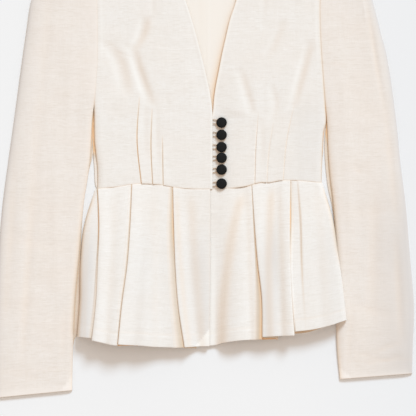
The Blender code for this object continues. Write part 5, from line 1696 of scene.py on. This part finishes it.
def build_back_peplum():
    """Back peplum, flat but for its left side, which climbs over the sleeve."""
    way = np.linspace(0, 1, BACK_PEPLUM_ROWS)[:, None]
    left = PEPLUM_SIDE_RIGHT(way) - CLOTH / 2
    right = PEPLUM_SIDE_LEFT(way) + CLOTH / 2
    flat_part = mix(left, CLIMB_START_X, np.linspace(0, 1, BACK_PEPLUM_COLUMNS)[None, :])
    climbing = mix(CLIMB_START_X, right, np.linspace(0, 1, BACK_PEPLUM_CLIMB_COLUMNS)[None, 1:])
    x = np.concatenate((flat_part, climbing), axis=1)
    share = (x - left) / (right - left)
    waist_x = mix(PEPLUM_SIDE_RIGHT(0.0), PEPLUM_SIDE_LEFT(0.0), share)
    hem_x = mix(PEPLUM_SIDE_RIGHT(1.0), PEPLUM_SIDE_LEFT(1.0), share)
    y = mix(BACK_WAIST(waist_x) - SEAM / 2, BACK_HEM(hem_x), way)
    seams = sum(bell(x - seam_x * (1 + BACK_PEPLUM_SPREAD * way), UNDER_SEAM_WIDTH)
                for seam_x in BACK_PEPLUM_SEAMS_X)
    hem_line = bell((1 - way) * BACK_PEPLUM_LENGTH - HEM_DEPTH, UNDER_SEAM_WIDTH)
    groove = UNDER_SEAM_DEPTH * np.clip(seams + hem_line, 0.0, 1.0)
    # The back peplum is painted in warm shade all over, as it lies under the front peplum, and darker in
    # its seam grooves
    cloth_wall("peplum_back", x, y, FLAT + climb(x, way), "ivory_linen", under=groove,
               fold=BACK_PEPLUM_SHADE, inner_fold=groove)


def revolved(profile, centre, sides):
    """Vertices and faces of a solid turned about +Z from (radius, height) pairs, from the foot up."""
    rings = []
    for radius, height in profile[1:-1]:
        turn = np.linspace(0.0, 2 * math.pi, sides, endpoint=False)
        rings.append(np.stack((radius * np.cos(turn), radius * np.sin(turn), np.full(sides, height)), -1))
    ends = np.array([(0.0, 0.0, profile[0][1]), (0.0, 0.0, profile[-1][1])])
    vertices = np.concatenate([*rings, ends]) + centre
    foot, head = len(rings) * sides, len(rings) * sides + 1
    faces = []
    for ring in range(len(rings) - 1):
        for i in range(sides):
            a, b = ring * sides + i, ring * sides + (i + 1) % sides
            faces.append((a, b, b + sides, a + sides))
    last = (len(rings) - 1) * sides
    for i in range(sides):
        faces.append((foot, (i + 1) % sides, i))
        faces.append((last + i, last + (i + 1) % sides, head))
    return vertices, faces


def left_front_top(y):
    """Top of the left front where the buttons are sewn on."""
    near = [front_height(BUTTON_X + shift, y, EDGE_LEFT, EDGE_HEIGHT_LEFT, LAP_WIDTH)
            for shift in (-SHANK_DIAMETER / 2, 0.0, SHANK_DIAMETER / 2)]
    return float(max(near)) + CLOTH / 2


def button_profile():
    """Covered button from the foot of its shank over its rim to the top of its dome."""
    radius, shank = BUTTON_DIAMETER / 2, SHANK_DIAMETER / 2
    top = SHANK_HEIGHT + BUTTON_HEAD
    rim = SHANK_HEIGHT + RIM_HEIGHT
    profile = [(0.0, 0.0), (0.9 * shank, 0.0), (shank, 0.25), (0.86 * shank, 0.9)]
    profile += [(shank, SHANK_HEIGHT - 0.1), (0.6 * radius, SHANK_HEIGHT + 0.05)]
    profile += [(0.86 * radius, SHANK_HEIGHT + 0.1)]
    for angle in np.linspace(-70, 0, 6):
        turn = math.radians(angle)
        profile.append((radius - RIM_RADIUS + math.cos(turn), rim + math.sin(turn) * RIM_RADIUS))
    for t in np.linspace(0.08, 1.0, 12):
        angle = t * math.pi / 2
        out = radius * math.cos(angle) ** DOME_POWER
        profile.append((out, rim + (BUTTON_HEAD - RIM_HEIGHT) * math.sin(angle)))
    profile[-1] = (0.0, top)
    return profile


def build_buttons():
    """Six covered buttons, each on its shank."""
    for number, closure in enumerate(CLOSURES, start=1):
        centre = np.array((BUTTON_X, closure.button_y, left_front_top(closure.button_y) + REST))
        vertices, faces = revolved(button_profile(), centre, BUTTON_SIDES)
        obj = link_mesh(f"button_{number}_cover", vertices, faces, "black_cover")
        turned = np.radians(BUTTON_TURN * number)
        flat = vertices[:, :2] - centre[:2]
        thread = np.stack((flat[:, 0] * np.cos(turned) - flat[:, 1] * np.sin(turned),
                           flat[:, 0] * np.sin(turned) + flat[:, 1] * np.cos(turned),
                           vertices[:, 2]), -1) * MM
        put_attribute(obj.data, "thread", "FLOAT_VECTOR", thread)
        stand_for(obj, f"button_{number}")


def smooth_route(points, count):
    """Evenly read points on a smooth line through a few places."""
    points = np.asarray(points, dtype=float)
    run = np.concatenate(([0.0], np.cumsum(np.linalg.norm(np.diff(points, axis=0), axis=1))))
    lines = [curve(*zip(run, points[:, axis])) for axis in range(3)]
    at = np.linspace(0.0, run[-1], count)
    return np.stack([line(at) for line in lines], -1)


def square_to(route):
    """Sideways and upward directions at each point of a route that is nowhere upright."""
    ahead = np.gradient(route, axis=0)
    ahead /= np.linalg.norm(ahead, axis=1, keepdims=True)
    sideways = np.cross(ahead, (0.0, 0.0, 1.0))
    sideways /= np.linalg.norm(sideways, axis=1, keepdims=True)
    return sideways, np.cross(sideways, ahead)


def tube(route, radius, sides):
    """Vertices and faces of a closed round tube along a route."""
    sideways, upward = square_to(route)
    turn = np.linspace(0.0, 2 * math.pi, sides, endpoint=False)[None, :, None]
    rings = route[:, None] + radius * (np.cos(turn) * sideways[:, None] + np.sin(turn) * upward[:, None])
    vertices = np.concatenate((rings.reshape(-1, 3), route[:1], route[-1:]))
    faces = []
    for ring in range(len(route) - 1):
        for i in range(sides):
            a, b = ring * sides + i, ring * sides + (i + 1) % sides
            faces.append((a, a + sides, b + sides, b))
    first, last = len(route) * sides, (len(route) - 1) * sides
    for i in range(sides):
        faces.append((first, i, (i + 1) % sides))
        faces.append((first + 1, last + (i + 1) % sides, last + i))
    return vertices, faces


def joined(parts):
    """Vertices and faces of several shapes as one."""
    vertices, faces, count = [], [], 0
    for part_vertices, part_faces in parts:
        vertices.append(part_vertices)
        faces += [tuple(count + i for i in face) for face in part_faces]
        count += len(part_vertices)
    return np.concatenate(vertices), faces


def twisted(route, radius, turns):
    """Two plies twisted about each other along a route."""
    sideways, upward = square_to(route)
    phase = np.linspace(0.0, 2 * math.pi * turns, len(route))[:, None]
    plies = []
    for start in (0.0, math.pi):
        offset = np.cos(phase + start) * sideways + np.sin(phase + start) * upward
        plies.append(tube(route + offset * radius * PLY_OFFSET, radius * PLY_RADIUS, PLY_SIDES))
    return plies


def build_loops():
    """Cord loops from the edge of the right front round the shanks, each with its tacks."""
    for number, closure in enumerate(CLOSURES, start=1):
        edge_x = float(EDGE_RIGHT(closure.loop_y)) + REST + LOOP_GAP
        edge_z = float(EDGE_HEIGHT_RIGHT(closure.loop_y))
        shank_z = left_front_top(closure.button_y) + REST + SHANK_HEIGHT / 2
        around = SHANK_DIAMETER / 2 + REST + LOOP_CORD / 2
        route = [(edge_x - LOOP_TACK, closure.loop_y + LOOP_HALF_WIDTH, edge_z)]
        for angle in LOOP_ANGLES:
            turn = math.radians(angle)
            route.append((BUTTON_X + around * math.cos(turn),
                          closure.button_y + around * math.sin(turn), shank_z))
        route.append((edge_x - LOOP_TACK, closure.loop_y - LOOP_HALF_WIDTH, edge_z))
        vertices, faces = joined(twisted(smooth_route(route, LOOP_STATIONS), LOOP_CORD / 2, LOOP_TURNS))
        obj = link_mesh(f"loop_{number}_cord", vertices, faces, "ivory_cord")
        stand_for(obj, f"loop_{number}")


class JACKET_OT_fronts(bpy.types.Operator):
    """Build both fronts with their waist tucks, darts, soft folds and edges"""

    bl_idname = "jacket.fronts"
    bl_label = "Fronts"

    def execute(self, context):
        build_fronts(context.scene.jacket_cloth)
        return {"FINISHED"}


class JACKET_OT_back(bpy.types.Operator):
    """Build the bodice back and the lining that shows in the V"""

    bl_idname = "jacket.back"
    bl_label = "Back and Lining"

    def execute(self, context):
        build_back()
        build_lining()
        return {"FINISHED"}


class JACKET_OT_sleeves(bpy.types.Operator):
    """Build the upper and under half of both sleeves"""

    bl_idname = "jacket.sleeves"
    bl_label = "Sleeves"

    def execute(self, context):
        build_sleeves(context.scene.jacket_cloth)
        return {"FINISHED"}


class JACKET_OT_peplum(bpy.types.Operator):
    """Build the pleated front peplum and the back peplum"""

    bl_idname = "jacket.peplum"
    bl_label = "Peplum"

    def execute(self, context):
        build_back_peplum()
        build_front_peplums(context.scene.jacket_cloth)
        return {"FINISHED"}


class JACKET_OT_buttons(bpy.types.Operator):
    """Build the covered buttons"""

    bl_idname = "jacket.buttons"
    bl_label = "Buttons"

    def execute(self, context):
        build_buttons()
        return {"FINISHED"}


class JACKET_OT_loops(bpy.types.Operator):
    """Build the cord loops round the buttons"""

    bl_idname = "jacket.loops"
    bl_label = "Loops"

    def execute(self, context):
        build_loops()
        return {"FINISHED"}


class JACKET_OT_stage(bpy.types.Operator):
    """Lay a pale floor and set up the lights and the camera above it"""

    bl_idname = "jacket.stage"
    bl_label = "Stage"

    def execute(self, context):
        scene = context.scene
        studio = scene.jacket_studio
        mesh = bpy.data.meshes.new("floor")
        signs = ((-1, -1), (1, -1), (1, 1), (-1, 1))
        corners = [(x * FLOOR_HALF, y * FLOOR_HALF, -FLOOR_DROP) for x, y in signs]
        mesh.from_pydata(corners, [], [(0, 1, 2, 3)])
        mesh.materials.append(finish_named("pale_floor"))
        floor = bpy.data.objects.new("floor", mesh)
        scene.collection.objects.link(floor)

        world = bpy.data.worlds.new("studio")
        world.use_nodes = True
        background = world.node_tree.nodes["Background"]
        background.inputs["Color"].default_value = (*studio.fill_colour, 1.0)
        background.inputs["Strength"].default_value = studio.fill_strength
        scene.world = world

        lamp = bpy.data.lights.new("main_light", "SUN")
        lamp.energy = studio.light_strength
        lamp.angle = studio.light_width
        lamp.color = studio.light_colour
        light = bpy.data.objects.new("main_light", lamp)
        direction = Vector((math.sin(studio.light_turn) * math.cos(studio.light_elevation),
                            math.cos(studio.light_turn) * math.cos(studio.light_elevation),
                            math.sin(studio.light_elevation)))
        light.rotation_euler = direction.to_track_quat("Z", "Y").to_euler()
        scene.collection.objects.link(light)

        middle = (pixel_x(PHOTO_SIZE / 2), pixel_y(PHOTO_SIZE / 2), 0.0)
        target = Vector(place(middle))
        lens = bpy.data.cameras.new("camera")
        lens.sensor_width = SENSOR_WIDTH
        lens.lens = lens.sensor_width * studio.camera_height / (PHOTO_SIZE * PIXEL * MM)
        lens.clip_end = CLIP_END
        camera = bpy.data.objects.new("camera", lens)
        camera.location = target + Vector((0.0, 0.0, studio.camera_height))
        scene.collection.objects.link(camera)
        scene.camera = camera
        scene.view_settings.view_transform = "Standard"
        return {"FINISHED"}


class JACKET_PT_panel(bpy.types.Panel):
    """Sizes, colours and steps of the jacket"""

    bl_idname = "JACKET_PT_panel"
    bl_label = "Peplum Jacket"
    bl_space_type = "VIEW_3D"
    bl_region_type = "UI"
    bl_category = "Jacket"

    def draw(self, context):
        scene = context.scene
        for settings in (scene.jacket_cloth, scene.jacket_colours, scene.jacket_studio):
            box = self.layout.box()
            for key in settings.__annotations__:
                box.prop(settings, key)
        for step in STEPS:
            self.layout.operator(step.bl_idname)


STEPS = (JACKET_OT_stage, JACKET_OT_back, JACKET_OT_fronts, JACKET_OT_sleeves, JACKET_OT_peplum,
         JACKET_OT_buttons, JACKET_OT_loops)
SETTINGS = {"jacket_cloth": JacketCloth, "jacket_colours": JacketColours, "jacket_studio": JacketStudio}


def register():
    for group in (*SETTINGS.values(), *STEPS, JACKET_PT_panel):
        bpy.utils.register_class(group)
    for name, group in SETTINGS.items():
        setattr(bpy.types.Scene, name, bpy.props.PointerProperty(type=group))


def unregister():
    for name in SETTINGS:
        delattr(bpy.types.Scene, name)
    for group in (JACKET_PT_panel, *STEPS, *SETTINGS.values()):
        bpy.utils.unregister_class(group)


def main():
    register()
    bpy.ops.jacket.stage()
    bpy.ops.jacket.back()
    bpy.ops.jacket.fronts()
    bpy.ops.jacket.sleeves()
    bpy.ops.jacket.peplum()
    bpy.ops.jacket.buttons()
    bpy.ops.jacket.loops()


if __name__ == "__main__":
    main()
